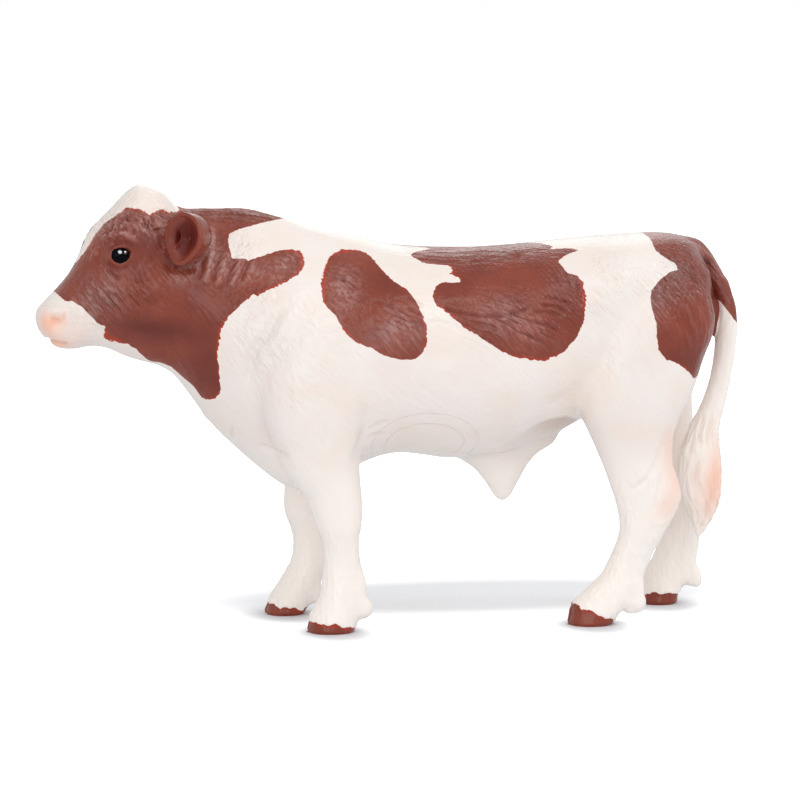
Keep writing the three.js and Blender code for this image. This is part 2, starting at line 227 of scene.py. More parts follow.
@dataclass(frozen=True)
class Outline:
    """The edge of a painted patch, as the photograph shows it, in its pixels."""

    edge: tuple[Pixel, ...]

    def inside(self, pixels: np.ndarray) -> np.ndarray:
        """Measures how far inside the patch pixels are.

        Args:
            pixels: places in the photograph, one row each.

        Returns:
            Distances from the edge in millimetres, below 0 outside.
        """
        corners = np.array(self.edge)
        nearest = np.full(len(pixels), FAR)
        odd = np.zeros(len(pixels), bool)
        for start, end in zip(corners, np.roll(corners, -1, axis=0)):
            nearest = np.minimum(nearest, distance_to(pixels, start, end)[0])
            crosses = (start[1] > pixels[:, 1]) != (end[1] > pixels[:, 1])
            rise = end[1] - start[1] if end[1] != start[1] else TINY
            at = start[0] + (pixels[:, 1] - start[1]) / rise * (end[0] - start[0])
            odd ^= crosses & (pixels[:, 0] < at)
        return np.where(odd, nearest, -nearest) / VIEW.scale


@dataclass(frozen=True)
class Carving:
    """A crease or a ridge drawn on the hide, along pixels of the photograph.

    A depth above 0 cuts in and below 0 raises. Width is that of the whole mark, in millimetres.
    Fade is the share of its length over which each end runs out. Around marks both flanks in full.
    """

    line: tuple[Pixel, ...]
    width: float
    depth: float
    fade: float = 0.25
    around: bool = False

    def rise(self, pixels: np.ndarray) -> np.ndarray:
        """Works out the lift of the hide for this mark.

        Args:
            pixels: places in the photograph, one row each.

        Returns:
            Lifts in millimetres.
        """
        points = np.array(self.line)
        steps = np.linalg.norm(np.diff(points, axis=0), axis=1)
        reach = np.concatenate([[0.0], np.cumsum(steps)]) / max(steps.sum(), TINY)
        nearest = np.full(len(pixels), FAR)
        place = np.zeros(len(pixels))
        near = self.close(pixels, points)
        for k in range(len(points) - 1):
            away, along = distance_to(pixels[near], points[k], points[k + 1])
            closer = away < nearest[near]
            at = reach[k] + along * (reach[k + 1] - reach[k])
            place[near] = np.where(closer, at, place[near])
            nearest[near] = np.minimum(away, nearest[near])
        share = nearest / VIEW.scale / (self.width / 2.0)
        ends = ease(0.0, self.fade, place) * ease(0.0, self.fade, 1.0 - place)
        return -self.depth * np.exp(-MARK_FALLOFF * share * share) * ends

    def close(self, pixels: np.ndarray, points: np.ndarray) -> np.ndarray:
        """Picks the pixels that this mark can reach.

        Args:
            pixels: places in the photograph, one row each.
            points: the mark's own points.

        Returns:
            Numbers of the rows within reach.
        """
        room = self.width * VIEW.scale * 1.5
        low, high = points.min(axis=0) - room, points.max(axis=0) + room
        return np.flatnonzero(((pixels > low) & (pixels < high)).all(axis=1))


@dataclass(frozen=True)
class Mound:
    """A soft round rise or, below 0, a hollow of the hide, placed by a pixel of the photograph."""

    middle: Pixel
    size: tuple[float, float]
    rise: float
    turn: float = 0.0

    def lift(self, pixels: np.ndarray) -> np.ndarray:
        """Works out the lift of the hide.

        Args:
            pixels: places in the photograph, one row each.

        Returns:
            Lifts in millimetres.
        """
        away = (pixels - np.array(self.middle)) / VIEW.scale
        along, across = along_and_across(away, self.turn)
        share = (along / self.size[0]) ** 2 + (across / self.size[1]) ** 2
        return self.rise * np.exp(-MOUND_FALLOFF * share)


@dataclass(frozen=True)
class Lay:
    """Sculpted hair in one area, placed by a pixel of the photograph.

    Way is where the locks point, in degrees below the rear. Lengths are in millimetres.
    """

    middle: Pixel
    size: tuple[float, float]
    way: float
    width: float
    length: float
    depth: float
    turn: float = 0.0
    curl: float = 0.0

    def rise(self, pixels: np.ndarray, place: np.ndarray) -> np.ndarray:
        """Works out the lift of the hide for these locks.

        Args:
            pixels: places in the photograph, one row each.
            place: the same places in millimetres.

        Returns:
            Lifts in millimetres.
        """
        area = Mound(self.middle, self.size, 1.0, self.turn).lift(pixels)
        rise = np.zeros(len(pixels))
        near = np.flatnonzero(area > LEAST_AREA)
        if len(near) == 0:
            return rise
        along, across = along_and_across(pixels[near] / VIEW.scale, self.way)
        depth_axis = place[near, 1]
        lock = np.stack([along / self.length, across / self.width, depth_axis / self.width], axis=1)
        seed = int(self.middle[0])
        if self.curl > 0.0:
            wave = np.stack([along, across, depth_axis], axis=1) / (LOCK_CURL * self.width)
            lock[:, 0] += self.curl * grain(wave, seed + 1)
            lock[:, 1] += self.curl * grain(wave, seed + 2)
        coarse, fine = ridged(lock, seed + 3), ridged(lock * LOCK_FINER, seed + 4)
        rise[near] = area[near] * self.depth * (LOCK_SHARES[0] * coarse + LOCK_SHARES[1] * fine)
        return rise


class Hide:
    """The skin of one casting, held as arrays in millimetres while it is carved and painted."""

    def __init__(self, mesh: bpy.types.Mesh) -> None:
        """Takes over a mesh whose unit is the millimetre."""
        self.mesh = mesh
        self.place = np.zeros(len(mesh.vertices) * 3)
        mesh.vertices.foreach_get("co", self.place)
        self.place = self.place.reshape(-1, 3)
        pairs = np.zeros(len(mesh.edges) * 2, np.int32)
        mesh.edges.foreach_get("vertices", pairs)
        self.pairs = pairs.reshape(-1, 2)
        self.out = self.directions()

    def directions(self) -> np.ndarray:
        """Returns the outward direction at each point."""
        out = np.zeros(len(self.place) * 3)
        self.mesh.vertex_normals.foreach_get("vector", out)
        return out.reshape(-1, 3)

    def write(self) -> None:
        """Puts the places back into the mesh and takes its new directions."""
        self.mesh.vertices.foreach_set("co", self.place.ravel())
        self.mesh.update()
        self.out = self.directions()

    def spread(self, values: np.ndarray, share: np.ndarray, rounds: int) -> np.ndarray:
        """Averages what each point holds with its neighbours.

        Args:
            values: a row for each point.
            share: how far each point goes to its neighbours' middle in one round.
            rounds: how many times.

        Returns:
            The averaged rows.
        """
        first, second = self.pairs[:, 0], self.pairs[:, 1]
        count = len(values)
        links = np.bincount(first, minlength=count) + np.bincount(second, minlength=count)
        held = values.copy()
        for _ in range(rounds):
            middle = np.empty_like(held)
            for axis in range(held.shape[1]):
                column = held[:, axis]
                middle[:, axis] = (
                    np.bincount(first, column[second], count)
                    + np.bincount(second, column[first], count)
                )
            held += share[:, None] * (middle / links[:, None] - held)
        return held

    def relax(self, share: np.ndarray, rounds: int) -> None:
        """Smooths the skin, and gives back what the smoothing took off its broad forms.

        Args:
            share: how strongly each point is smoothed, up to 0.6.
            rounds: how many times.
        """
        soft = self.spread(self.place, share, rounds)
        lost = self.spread(self.place - soft, share, rounds)
        self.place = soft + lost
        self.write()

    def lift(self, rise: np.ndarray) -> None:
        """Moves each point out by its rise in millimetres."""
        self.place += self.out * rise[:, None]
        self.write()

    def mark(self, name: str, values: np.ndarray) -> None:
        """Keeps a number for each point as an attribute that the finish reads.

        Args:
            name: the attribute's name.
            values: a number for each point.
        """
        layer = self.mesh.attributes.new(name, "FLOAT", "POINT")
        layer.data.foreach_set("value", values.astype(np.float32))


def build_object(name: str, data: bpy.types.ID) -> bpy.types.Object:
    """Makes a scene object.

    Args:
        name: its name.
        data: its mesh, camera or light.

    Returns:
        The linked object.
    """
    piece = bpy.data.objects.new(name, data)
    bpy.context.scene.collection.objects.link(piece)
    return piece


def mesh_of(body: bmesh.types.BMesh, name: str) -> bpy.types.Mesh:
    """Writes edited geometry into a new mesh.

    Args:
        body: the geometry, which is freed.
        name: the mesh's name.

    Returns:
        The mesh.
    """
    mesh = bpy.data.meshes.new(name)
    body.to_mesh(mesh)
    body.free()
    return mesh


def changed(mesh: bpy.types.Mesh, kind: str, **settings: float | str | bool) -> bpy.types.Mesh:
    """Runs one modifier over a mesh.

    Args:
        mesh: the mesh, which is removed.
        kind: the modifier's type.
        settings: its properties by name.

    Returns:
        The final mesh.
    """
    piece = build_object("changing", mesh)
    change = piece.modifiers.new("change", kind)
    for name, value in settings.items():
        setattr(change, name, value)
    graph = bpy.context.evaluated_depsgraph_get()
    final = bpy.data.meshes.new_from_object(piece.evaluated_get(graph))
    bpy.data.objects.remove(piece)
    bpy.data.meshes.remove(mesh)
    return final


def recast(mesh: bpy.types.Mesh, voxel: float) -> bpy.types.Mesh:
    """Gives a mesh one even skin, in which what overlaps is fused."""
    return changed(mesh, "REMESH", mode="VOXEL", voxel_size=voxel, use_smooth_shade=True)


def refine(mesh: bpy.types.Mesh, levels: int) -> bpy.types.Mesh:
    """Divides each face of a mesh into four, smoothly, as often as levels says."""
    return changed(mesh, "SUBSURF", levels=levels, render_levels=levels, use_limit_surface=False)


@dataclass(frozen=True)
class Joint:
    """The flat place where two castings meet. Out is the way that the smaller one lies."""

    point: Place
    out: Place
    room: float = 2.0

    def cut(self, mesh: bpy.types.Mesh, keep_out: bool, ahead_of: float = FAR,
            behind: float = -FAR) -> None:
        """Cuts a skin at the joint and closes it with a flat face.

        Args:
            mesh: the skin, in millimetres.
            keep_out: True keeps what lies outward.
            ahead_of: only what lies ahead of this is cut off.
            behind: only what lies behind this is cut off.
        """
        body = bmesh.new()
        body.from_mesh(mesh)
        out, point = Vector(self.out), Vector(self.point)
        near = [
            face for face in body.faces
            if abs((face.verts[0].co - point).dot(out)) < self.room
            and behind < face.verts[0].co.x < ahead_of
        ]
        edges = {edge for face in near for edge in face.edges}
        verts = {vert for face in near for vert in face.verts}
        bmesh.ops.bisect_plane(
            body, geom=[*verts, *edges, *near], dist=CUT_REACH, plane_co=point, plane_no=out,
        )
        way = -1.0 if keep_out else 1.0
        gone = [
            face for face in body.faces
            if (face.calc_center_median() - point).dot(out) * way > 0.0
            and behind < face.calc_center_median().x < ahead_of
        ]
        bmesh.ops.delete(body, geom=gone, context="FACES")
        rim = [edge for edge in body.edges if edge.is_boundary]
        for edge in rim:
            edge.smooth = False
        caps = bmesh.ops.holes_fill(body, edges=rim, sides=0)
        bmesh.ops.triangulate(body, faces=caps["faces"])
        body.to_mesh(mesh)
        body.free()
        mesh.update()


SHIFT = -0.4875
NECK = Joint((-37.0 + SHIFT, 0.0, 60.0), (-1.0, 0.0, 0.0))
FORE = Joint((0.0, 0.0, 25.2), (0.0, 0.0, -1.0))
HIND = Joint((0.0, 0.0, 34.5), (0.0, 0.0, -1.0))
TAIL_TURN = -0.8
TAIL_ROOT = Joint((63.9 + SHIFT, 0.0, 71.4), (math.cos(TAIL_TURN), 0.0, math.sin(TAIL_TURN)))
SOLE = Joint((0.0, 0.0, 0.0), (0.0, 0.0, 1.0))
FAR_FORE_BACK = -6.0
FAR_HIND_BACK = 12.0


@dataclass
class Blank:
    """The bare cast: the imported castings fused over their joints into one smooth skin."""

    overlap: float = 0.6
    flat: float = 0.35
    voxel: float = 0.45
    rounds: int = 42
    smooth: float = 0.22
    barrel_smooth: float = 0.38
    sole_depth: float = 1.5
    lid_play: float = 0.5
    root_play: float = -0.35
    root_reach: float = 2.0
    root_lowest: float = 52.0
    seat: Place = (4.6, 2.0, 5.0)
    seat_middle: Place = (-42.2 + SHIFT, 8.9, 77.6)
    foot: float = 12.4
    lobe: Place = (2.5, 1.9, 2.4)
    lobe_apart: float = 1.5
    lobes: tuple[tuple[float, float, float, float], ...] = (
        (-1.0, -8.9, 4.9, 0.0), (-1.0, -10.3, 8.4, 3.0),
        (1.0, -14.9, 4.4, 0.0), (1.0, -16.0, 8.0, 2.4),
        (-1.0, 46.4, 4.4, 0.0), (-1.0, 46.0, 7.4, 1.6),
        (1.0, 64.4, 6.0, 0.0), (1.0, 63.0, 8.8, 1.6),
    )
    rump: tuple[tuple[Place, Place], ...] = (
        ((60.0, 0.0, 74.8), (2.8, 2.0, 2.0)),
        ((65.3, 0.0, 61.6), (1.5, 1.3, 6.4)),
    )
    skins: dict[str, bpy.types.Mesh] = field(default_factory=dict)

    def casting(self, node: str) -> bmesh.types.BMesh:
        """Copies a packed casting, with its corners joined.

        Args:
            node: the casting's name.

        Returns:
            The copy, in millimetres.
        """
        body = bmesh.new()
        body.from_mesh(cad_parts[node].data)
        bmesh.ops.remove_doubles(body, verts=body.verts, dist=SAME_PLACE)
        bmesh.ops.scale(body, vec=[1.0 / MILLIMETRE] * 3, verts=body.verts)
        return body

    def run_over(self, body: bmesh.types.BMesh, joint: Joint, reach: float) -> None:
        """Lengthens the flat faces at a joint, so that they run into the neighbour.

        Args:
            body: the casting's copy.
            joint: where they lie.
            reach: how far they grow.
        """
        point, out = Vector(joint.point), Vector(joint.out)
        for way in (1.0, -1.0):
            faces = [
                face for face in body.faces
                if face.normal.dot(out) * way > SQUARE_ON
                and abs((face.calc_center_median() - point).dot(out)) < self.flat
            ]
            if not faces:
                continue
            grown = bmesh.ops.extrude_face_region(body, geom=faces)["geom"]
            moved = [item for item in grown if isinstance(item, bmesh.types.BMVert)]
            bmesh.ops.translate(body, vec=out * way * reach, verts=moved)

    def swollen(self, node: str, play: float) -> bmesh.types.BMesh:
        """Copies a packed casting, thicker all round.

        Args:
            node: the casting's name.
            play: how much thicker, below 0 for thinner.

        Returns:
            The copy, in millimetres.
        """
        body = self.casting(node)
        body.normal_update()
        for vert in body.verts:
            vert.co += vert.normal * play
        return body

    def ball(self, middle: Sequence[float], radii: Sequence[float]) -> bmesh.types.BMesh:
        """Makes an egg-shaped lump, as padding under the skin.

        Args:
            middle: its middle in millimetres.
            radii: its half sizes.

        Returns:
            The lump.
        """
        body = bmesh.new()
        bmesh.ops.create_uvsphere(body, u_segments=24, v_segments=16, radius=1.0)
        bmesh.ops.scale(body, vec=radii, verts=body.verts)
        bmesh.ops.translate(body, vec=middle, verts=body.verts)
        return body

    def fuse(self, bodies: Sequence[bmesh.types.BMesh], name: str) -> bpy.types.Mesh:
        """Fuses overlapping lumps into one smooth skin.

        Args:
            bodies: the lumps, which are freed.
            name: the skin's name.

        Returns:
            The skin's mesh.
        """
        whole = bmesh.new()
        for body in bodies:
            part = mesh_of(body, "part")
            whole.from_mesh(part)
            bpy.data.meshes.remove(part)
        hide = Hide(recast(mesh_of(whole, name), self.voxel))
        x, _, z = hide.place.T
        barrel = ease(-34.0, -26.0, x) * ease(27.0, 38.0, z)
        hide.relax(self.smooth + self.barrel_smooth * barrel, self.rounds)
        return hide.mesh

    def build(self) -> None:
        """Makes the skins of the body and of the tail."""
        bodies = []
        for node in ("torso", "head", "fore_leg_left", "fore_leg_right", "hind_leg_left", "hind_leg_right"):
            limb = "leg" in node
            body = self.casting(node)
            for joint in (FORE, HIND) if limb else (NECK, FORE, HIND, TAIL_ROOT):
                self.run_over(body, joint, self.overlap)
            if limb:
                self.run_over(body, SOLE, self.sole_depth)
            bodies.append(body)
        for side in Side:
            x, y, z = self.seat_middle
            bodies.append(self.ball((x, y * side.value, z), self.seat))
            bodies.append(self.swollen(f"eye_{side.name.lower()}", self.lid_play))
        length, width, height = self.lobe
        for side, x, z, longer in self.lobes:
            for apart in (-self.lobe_apart, self.lobe_apart):
                middle = (x, side * self.foot + apart, z)
                bodies.append(self.ball(middle, (length, width, height + longer)))
        for middle, radii in self.rump:
            bodies.append(self.ball(middle, radii))
        root = self.swollen("tail", self.root_play)
        for vert in root.verts:
            vert.co.z = max(vert.co.z, self.root_lowest)
        bodies.append(root)
        self.skins["body"] = self.fuse(bodies, "body_skin")
        tail = self.casting("tail")
        self.run_over(tail, TAIL_ROOT, self.root_reach)
        self.skins["tail"] = self.fuse([tail], "tail_skin")
        for name, skin in self.skins.items():
            LOG.info("%s skin: %d faces", name, len(skin.polygons))


@dataclass(frozen=True)
class CoatPaint:
    """Where the brown paint lies: its patches seen from the left, and from the right in a mirror."""

    face: Outline = Outline((
        (55, 292), (65, 301), (73, 301), (83, 308), (91, 316), (97, 323), (105, 326.5), (103, 338),
        (107, 340), (116, 342), (128, 344.5), (136, 349), (144, 357), (150, 361), (158, 362),
        (167, 365), (172, 367), (176, 371), (190, 383), (194, 387), (202, 398), (209, 400), (216, 398),
        (220, 393), (220.5, 387), (219, 372), (219, 366), (217, 353), (221, 330), (229, 316),
        (243, 303), (253.6, 294), (257, 296), (286, 282), (298, 275), (303.6, 267.5), (305, 259),
        (300, 251), (291, 249), (277, 251), (259, 257), (247, 261), (247, 258.6), (232, 258.6),
        (228, 241), (229.5, 233.6), (239, 229), (265, 222), (284.8, 218), (290, 200), (174, 194),
        (174.6, 202.5), (179.5, 210), (177, 212), (167, 212), (164, 209), (156.5, 211), (150, 215),
        (144, 211), (133, 208), (126, 208), (117, 215), (103.5, 224), (95, 235), (87, 248.6), (76, 263),
        (60, 250), (40, 280),
    ))
    shoulder: Outline = Outline((
        (352, 249.6), (341, 250), (334, 253), (328.6, 258.6), (323, 271), (321.5, 281), (322, 291),
        (323, 301), (330, 310), (336, 316), (341, 326), (346, 333), (352, 339), (361, 344.5),
        (371, 348), (382, 355), (396, 358.6), (409, 360), (415, 359), (419.6, 356), (425, 349),
        (427, 341), (427, 326), (423, 316), (417, 303), (409, 291), (395, 282), (385, 273),
        (378.6, 266), (369.6, 255), (362.5, 251),
    ))
    back: Outline = Outline((
        (385, 225), (388, 241.5), (400, 245), (426, 247.5), (431, 249), (416, 251.5), (410, 255),
        (423, 263), (450, 266), (453, 270.6), (449.5, 273.5), (461, 279), (459.5, 283.5),
        (443, 282), (436, 286), (432.5, 296), (436, 305), (443, 309), (466, 329), (476, 334),
        (488, 343), (503, 351.5), (514, 357), (526, 359), (536, 361), (544, 361), (555, 357),
        (564, 352), (577, 337), (584, 321), (586, 299), (583, 283), (577, 275.5), (567, 273),
        (558, 261), (566, 255), (579, 250), (569, 248), (549, 249.5), (553, 246), (540, 243),
        (530, 242.5), (530, 225),
    ))
    rump: Outline = Outline((
        (635, 220), (642, 233), (650, 238), (656, 251), (664, 257), (676, 264), (678, 270), (670, 272),
        (660, 280), (656, 285), (651, 291), (651, 303.5), (654, 316), (656.6, 324), (657, 337),
        (659, 351), (666, 359.6), (673.5, 361.6), (680.6, 365.7), (685.7, 369), (692, 376),
        (694, 379), (702, 372), (713, 345), (719, 315), (722, 300), (760, 290), (740, 220),
    ))
    far_barrel: Outline = Outline((
        (385, 225), (388, 241.5), (380, 262), (392, 290), (384, 318), (402, 344), (438, 352),
        (470, 338), (500, 344), (534, 330), (546, 300), (540, 268), (530, 242.5), (530, 225),
    ))
    far_flank: Outline = Outline((
        (300, 300), (316, 284), (338, 290), (350, 312), (346, 340), (326, 356), (306, 346), (296, 322),
    ))
    far_rump: Outline = Outline((
        (635, 220), (642, 233), (634, 252), (618, 270), (612, 296), (622, 318), (640, 322),
        (654, 338), (672, 350), (694, 352), (713, 340), (719, 315), (722, 300), (760, 290), (740, 220),
    ))

    far_brow: Mound = Mound((86, 234), (3.2, 3.4), 3.4)
    wobble: tuple[tuple[float, float, int], ...] = ((0.9, 4.5, 61), (0.4, 1.6, 62))

    def inside(self, place: np.ndarray) -> np.ndarray:
        """Measures how far inside the brown each point of the hide is.

        Args:
            place: points in millimetres.

        Returns:
            Distances in millimetres, below 0 on the cream.
        """
        pixels = VIEW.pixels(mirrored(place))
        head = self.face.inside(pixels)
        head += self.far_brow.lift(pixels) * ease(-0.1, 0.9, place[:, 1])
        near = np.maximum.reduce([
            head, self.shoulder.inside(pixels), self.back.inside(pixels), self.rump.inside(pixels),
        ])
        far = np.maximum.reduce([
            self.far_barrel.inside(pixels), self.far_flank.inside(pixels), self.far_rump.inside(pixels),
        ])
        far += sum(size * grain(place / apart, seed) for size, apart, seed in self.wobble)
        over = ease(-1.5, 1.5, place[:, 1])
        return capped(near * (1.0 - over) + np.maximum(far, head) * over)


def mirrored(place: np.ndarray) -> np.ndarray:
    """Brings points of the right flank over to the left one.

    Args:
        place: points in millimetres.

    Returns:
        The points, all on the camera's side.
    """
    return place * np.array([1.0, -1.0, 1.0]) ** (place[:, 1:2] > 0.0)


COAT = CoatPaint()


def total(mounds: Sequence[Mound], pixels: np.ndarray) -> np.ndarray:
    """Adds up soft areas at each pixel."""
    return sum((mound.lift(pixels) for mound in mounds), np.zeros(len(pixels)))


def rows(kind: type, *table: tuple[float, ...]) -> tuple:
    """Makes a Mound or a Lay of each row: its pixel, its half length and width, then the rest."""
    return tuple(kind((row[0], row[1]), (row[2], row[3]), *row[4:]) for row in table)


@dataclass(frozen=True)
class Ledge:
    """A part of the hide that lies deeper than the rest, behind an edge drawn in the photograph."""

    edge: Outline
    depth: float
    soft: float

    def rise(self, pixels: np.ndarray) -> np.ndarray:
        """Works out the lift of the hide, in millimetres."""
        return -self.depth * ease(-0.3, self.soft, self.edge.inside(pixels))


BODY_MOUNDS = rows(
    Mound, (52, 333, 2, 1.8, 0.35, 20), (54, 311, 2.2, 0.9, 0.35), (54.5, 318, 1.5, 1.2, -0.55),
    (70, 316, 1.6, 2, 0.25), (58, 346, 1.8, 0.9, 0.25), (120, 240, 3.4, 1.1, 0.4, 8),
    (150, 290, 6, 5, 0.5), (140, 262, 3, 4, -0.35), (112, 275, 3, 1.6, -0.2, 40),
    (186, 268, 2.4, 1.4, -0.6), (182, 280, 2.4, 1.6, 0.2), (300, 340, 5, 9, 0.45), (236, 372, 3, 7, 0.3),
    (645, 476, 2.6, 2.4, 0.35), (600, 330, 6, 9, -0.4),
)
BODY_LEDGES = (
    Ledge(Outline((
        (366, 452), (420, 450), (470, 450), (498, 446), (515, 437), (533, 424), (548, 418), (566, 415),
        (577, 418), (583, 427), (590, 470), (560, 520), (366, 520),
    )), 0.4, 2.4),
)
# Painted shade: the underside behind the ledge's edge is darkened, most at the groin.
GROIN_SHADE = Mound((574, 420), (9.0, 5.0), 0.85)
BODY_CARVINGS = tuple(Carving(*row) for row in (
    (((48, 322), (52, 320), (58, 321), (62, 323.5)), 1.9, 0.9),
    (((62, 322), (63.8, 319), (64, 315), (63, 311.5)), 0.9, 0.3),
    (((44, 339), (50, 341), (54, 342), (60, 343.5), (68, 344.5)), 0.8, 0.9, 0.08, True),
    (
        ((107, 256), (109.5, 249.5), (114, 244.6), (120, 242.4), (127, 242.8), (133, 246), (137, 251)),
        1.3, 0.32,
    ),
    (((107, 268), (110, 273), (115, 277), (121, 279)), 1, 0.35),
    (((104, 262), (108, 266), (115, 270), (124, 270), (132, 265)), 1.1, 0.2),
    (((98, 244), (106, 238.5), (115, 235), (124, 234), (133, 238), (141, 246)), 1.5, -0.5),
    (((162, 236), (161, 243), (162.5, 252)), 2.6, 0.3),
    (((148, 254), (158, 260), (168, 266), (178, 270)), 4.5, 0.4),
    (((211, 224), (211.5, 240), (210, 256)), 2.4, -0.4), (((197, 260), (198, 276)), 2, -0.4),
    (((211.2, 250), (208.5, 268), (205, 286)), 2.5, -0.5, 0.15),
    (((228, 250), (223.5, 268), (216, 290)), 2.6, -0.5, 0.15),
    (((241, 254), (238.5, 268), (230, 289)), 2.5, -0.5, 0.15),
    (((256, 258), (251, 271), (243, 286)), 2.4, -0.4, 0.15),
    (((204, 254), (201.5, 268), (198, 282)), 0.8, 0.22, 0.3),
    (((219, 254), (216, 267), (211, 284)), 0.8, 0.3, 0.3),
    (((235, 254), (231, 268), (224, 286)), 0.8, 0.3, 0.3),
    (((249, 258), (245, 270), (238, 285)), 0.8, 0.26, 0.3),
    (((440, 307), (460, 312.5), (482, 316), (502, 316), (520, 311), (535, 306)), 0.75, 0.36, 0.1),
    (((528, 312), (549, 312), (563, 318)), 0.75, 0.32), (((536, 304), (559, 307), (571, 314)), 0.75, 0.34),
    (((526, 320), (545, 325), (562, 332)), 0.75, 0.28), (((540, 296), (556, 298), (574, 304)), 0.75, 0.3),
    (((512, 330), (530, 336), (548, 346)), 0.75, 0.25), (((470, 322), (486, 326), (500, 334)), 0.75, 0.25),
    (((371, 300), (384, 303), (399, 312)), 0.75, 0.25), (((330, 276), (345, 280), (359, 290)), 0.75, 0.25),
    (((334, 262), (349, 268), (362, 278)), 0.75, 0.22),
    (((186, 272), (200, 282), (215.3, 290), (238, 293)), 3.4, 0.16),
    (((281, 303), (279, 309), (270, 329), (255, 348), (248, 376), (246, 396)), 3.2, 0.75),
    (((292, 306), (288, 318), (279, 338), (266, 356), (260, 380)), 3.8, -0.45),
    (((257, 444), (267, 449), (281, 455), (291, 459)), 1.8, 0.7), (((232, 425), (231, 438)), 1, 0.25),
    (((352, 470), (358, 450), (363, 436), (366, 424), (362, 400)), 2.6, 0.5),
    (((366, 432), (378, 424), (392, 420)), 1, 0.2), (((366, 440), (376, 434), (386, 434)), 1, 0.2),
    (((427, 322), (438, 321), (451, 323.5)), 0.8, 0.15),
    (((604, 292), (590, 330), (582, 366), (581, 396)), 6, 0.4),
    (((545, 408), (560, 400), (574, 392), (582, 380)), 4, 0.35),
    (((700, 250), (712, 272), (716, 290), (716, 306)), 1.6, 0.8),
    (((686, 241), (698, 247), (708, 256), (714, 266)), 1.3, -0.3),
    (((624, 494), (634, 489), (646, 480), (657, 463), (663, 446), (667, 428)), 1.8, 0.38),
    (((652, 516), (658, 494), (660, 470)), 1.8, 0.35), (((562, 264), (567, 276), (571, 292)), 0.9, 0.22),
    (((571, 268), (577, 282), (579, 300)), 0.9, 0.22), (((552, 270), (559, 286), (562, 300)), 0.9, 0.18),
    (((406, 296), (416, 301), (424, 308)), 0.9, 0.25), (((404, 308), (414, 311), (426, 317)), 0.9, 0.25),
    (((407, 321), (417, 323), (427, 327)), 0.9, 0.2), (((332, 268), (342, 278), (350, 292)), 0.9, 0.2),
))
BODY_LAYS = rows(
    Lay, (116, 224, 6.5, 3.4, 20, 0.95, 1.5, 0.62, -35, 1.4),
    (152, 224, 5, 3.4, 60, 0.9, 1.8, 0.62, 0, 1.2), (92, 250, 2.2, 5, 120, 0.9, 2, 0.28, -25, 1),
    (136, 198, 6, 3, 40, 1.3, 2.4, 0.16, 0, 0.8), (98, 300, 7, 5, 48, 0.7, 2.6, 0.27),
    (84, 320, 4.5, 3, 25, 0.75, 2.4, 0.17), (150, 292, 9, 7, 50, 0.8, 3.2, 0.18),
    (182, 280, 3.4, 2.4, 60, 0.8, 2, 0.16), (232, 214, 12, 3, 7, 0.8, 8, 0.24),
    (225, 268, 7, 3.6, -62, 0.8, 3, 0.08), (246, 246, 3.6, 3.6, -60, 0.8, 2.6, 0.22),
    (262, 335, 6.5, 10, 52, 0.9, 3, 0.26), (318, 330, 8, 8, 40, 0.95, 3.4, 0.16),
    (345, 290, 5, 7, 55, 0.9, 2.6, 0.1), (388, 315, 8, 7, 30, 1, 4, 0.14),
    (470, 256, 16, 2.8, 5, 0.9, 7, 0.22), (510, 310, 14, 9, 34, 1.1, 6, 0.14),
    (606, 286, 6, 9, 45, 0.9, 3, 0.2), (420, 395, 16, 6, 40, 1, 4, 0.12),
    (300, 390, 10, 7, 50, 1, 3.6, 0.14), (676, 276, 7, 6.5, 50, 0.85, 5.5, 0.3, -20),
    (685, 315, 8, 9, 74, 0.9, 5, 0.2), (632, 360, 9, 10, 62, 1, 4, 0.12), (310, 440, 9, 7, 72, 1, 4, 0.14),
)
BODY_BLUSHES = rows(
    Mound, (50, 333, 2.6, 3.4, 0.55, -20), (44, 318, 1.6, 3.6, 0.35), (54, 321, 3, 1.8, 0.6),
    (64, 317, 0.8, 1.6, 0.35), (72, 336, 5, 2.4, 0.25), (58, 345, 3.2, 1.2, 0.6),
    (669, 446, 1.9, 5, 0.4, 6), (675, 478, 2.2, 5, 0.5, -6), (667, 506, 2.6, 4, 0.4, 25),
)
BODY_COMBS = (
    (Way.REAR, Mound((232, 212), (14.0, 3.6), 3.0)),
    (Way.REAR, Mound((490, 250), (22.0, 3.2), 3.0)),
    (Way.DOWN, Mound((692, 328), (8.0, 11.0), 2.0)),
    (Way.DOWN, Mound((90, 252), (2.4, 6.0), 2.0, -25.0)),
    (Way.RISE, Mound((246, 246), (4.0, 4.0), 5.0)),
    (Way.RISE, Mound((224, 268), (6.0, 3.4), 3.0)),
)
BODY_TUFTS = rows(
    Mound, (100, 302, 9, 6, 1.1), (140, 290, 8, 5, 0.7), (118, 222, 7, 3.4, 0.7, -35),
    (676, 276, 6, 5.5, 1.2), (520, 322, 13, 7, 0.6), (262, 335, 7, 11, 0.9), (330, 352, 9, 9, 0.5),
    (345, 290, 5, 7, 0.3), (608, 288, 7, 10, 0.9), (572, 300, 3, 7, 0.7), (672, 290, 7, 12, 0.7),
    (230, 214, 15, 4, 0.8), (470, 256, 18, 3, 0.8), (240, 250, 5, 6, 0.8), (84, 322, 4, 3, 0.8),
)
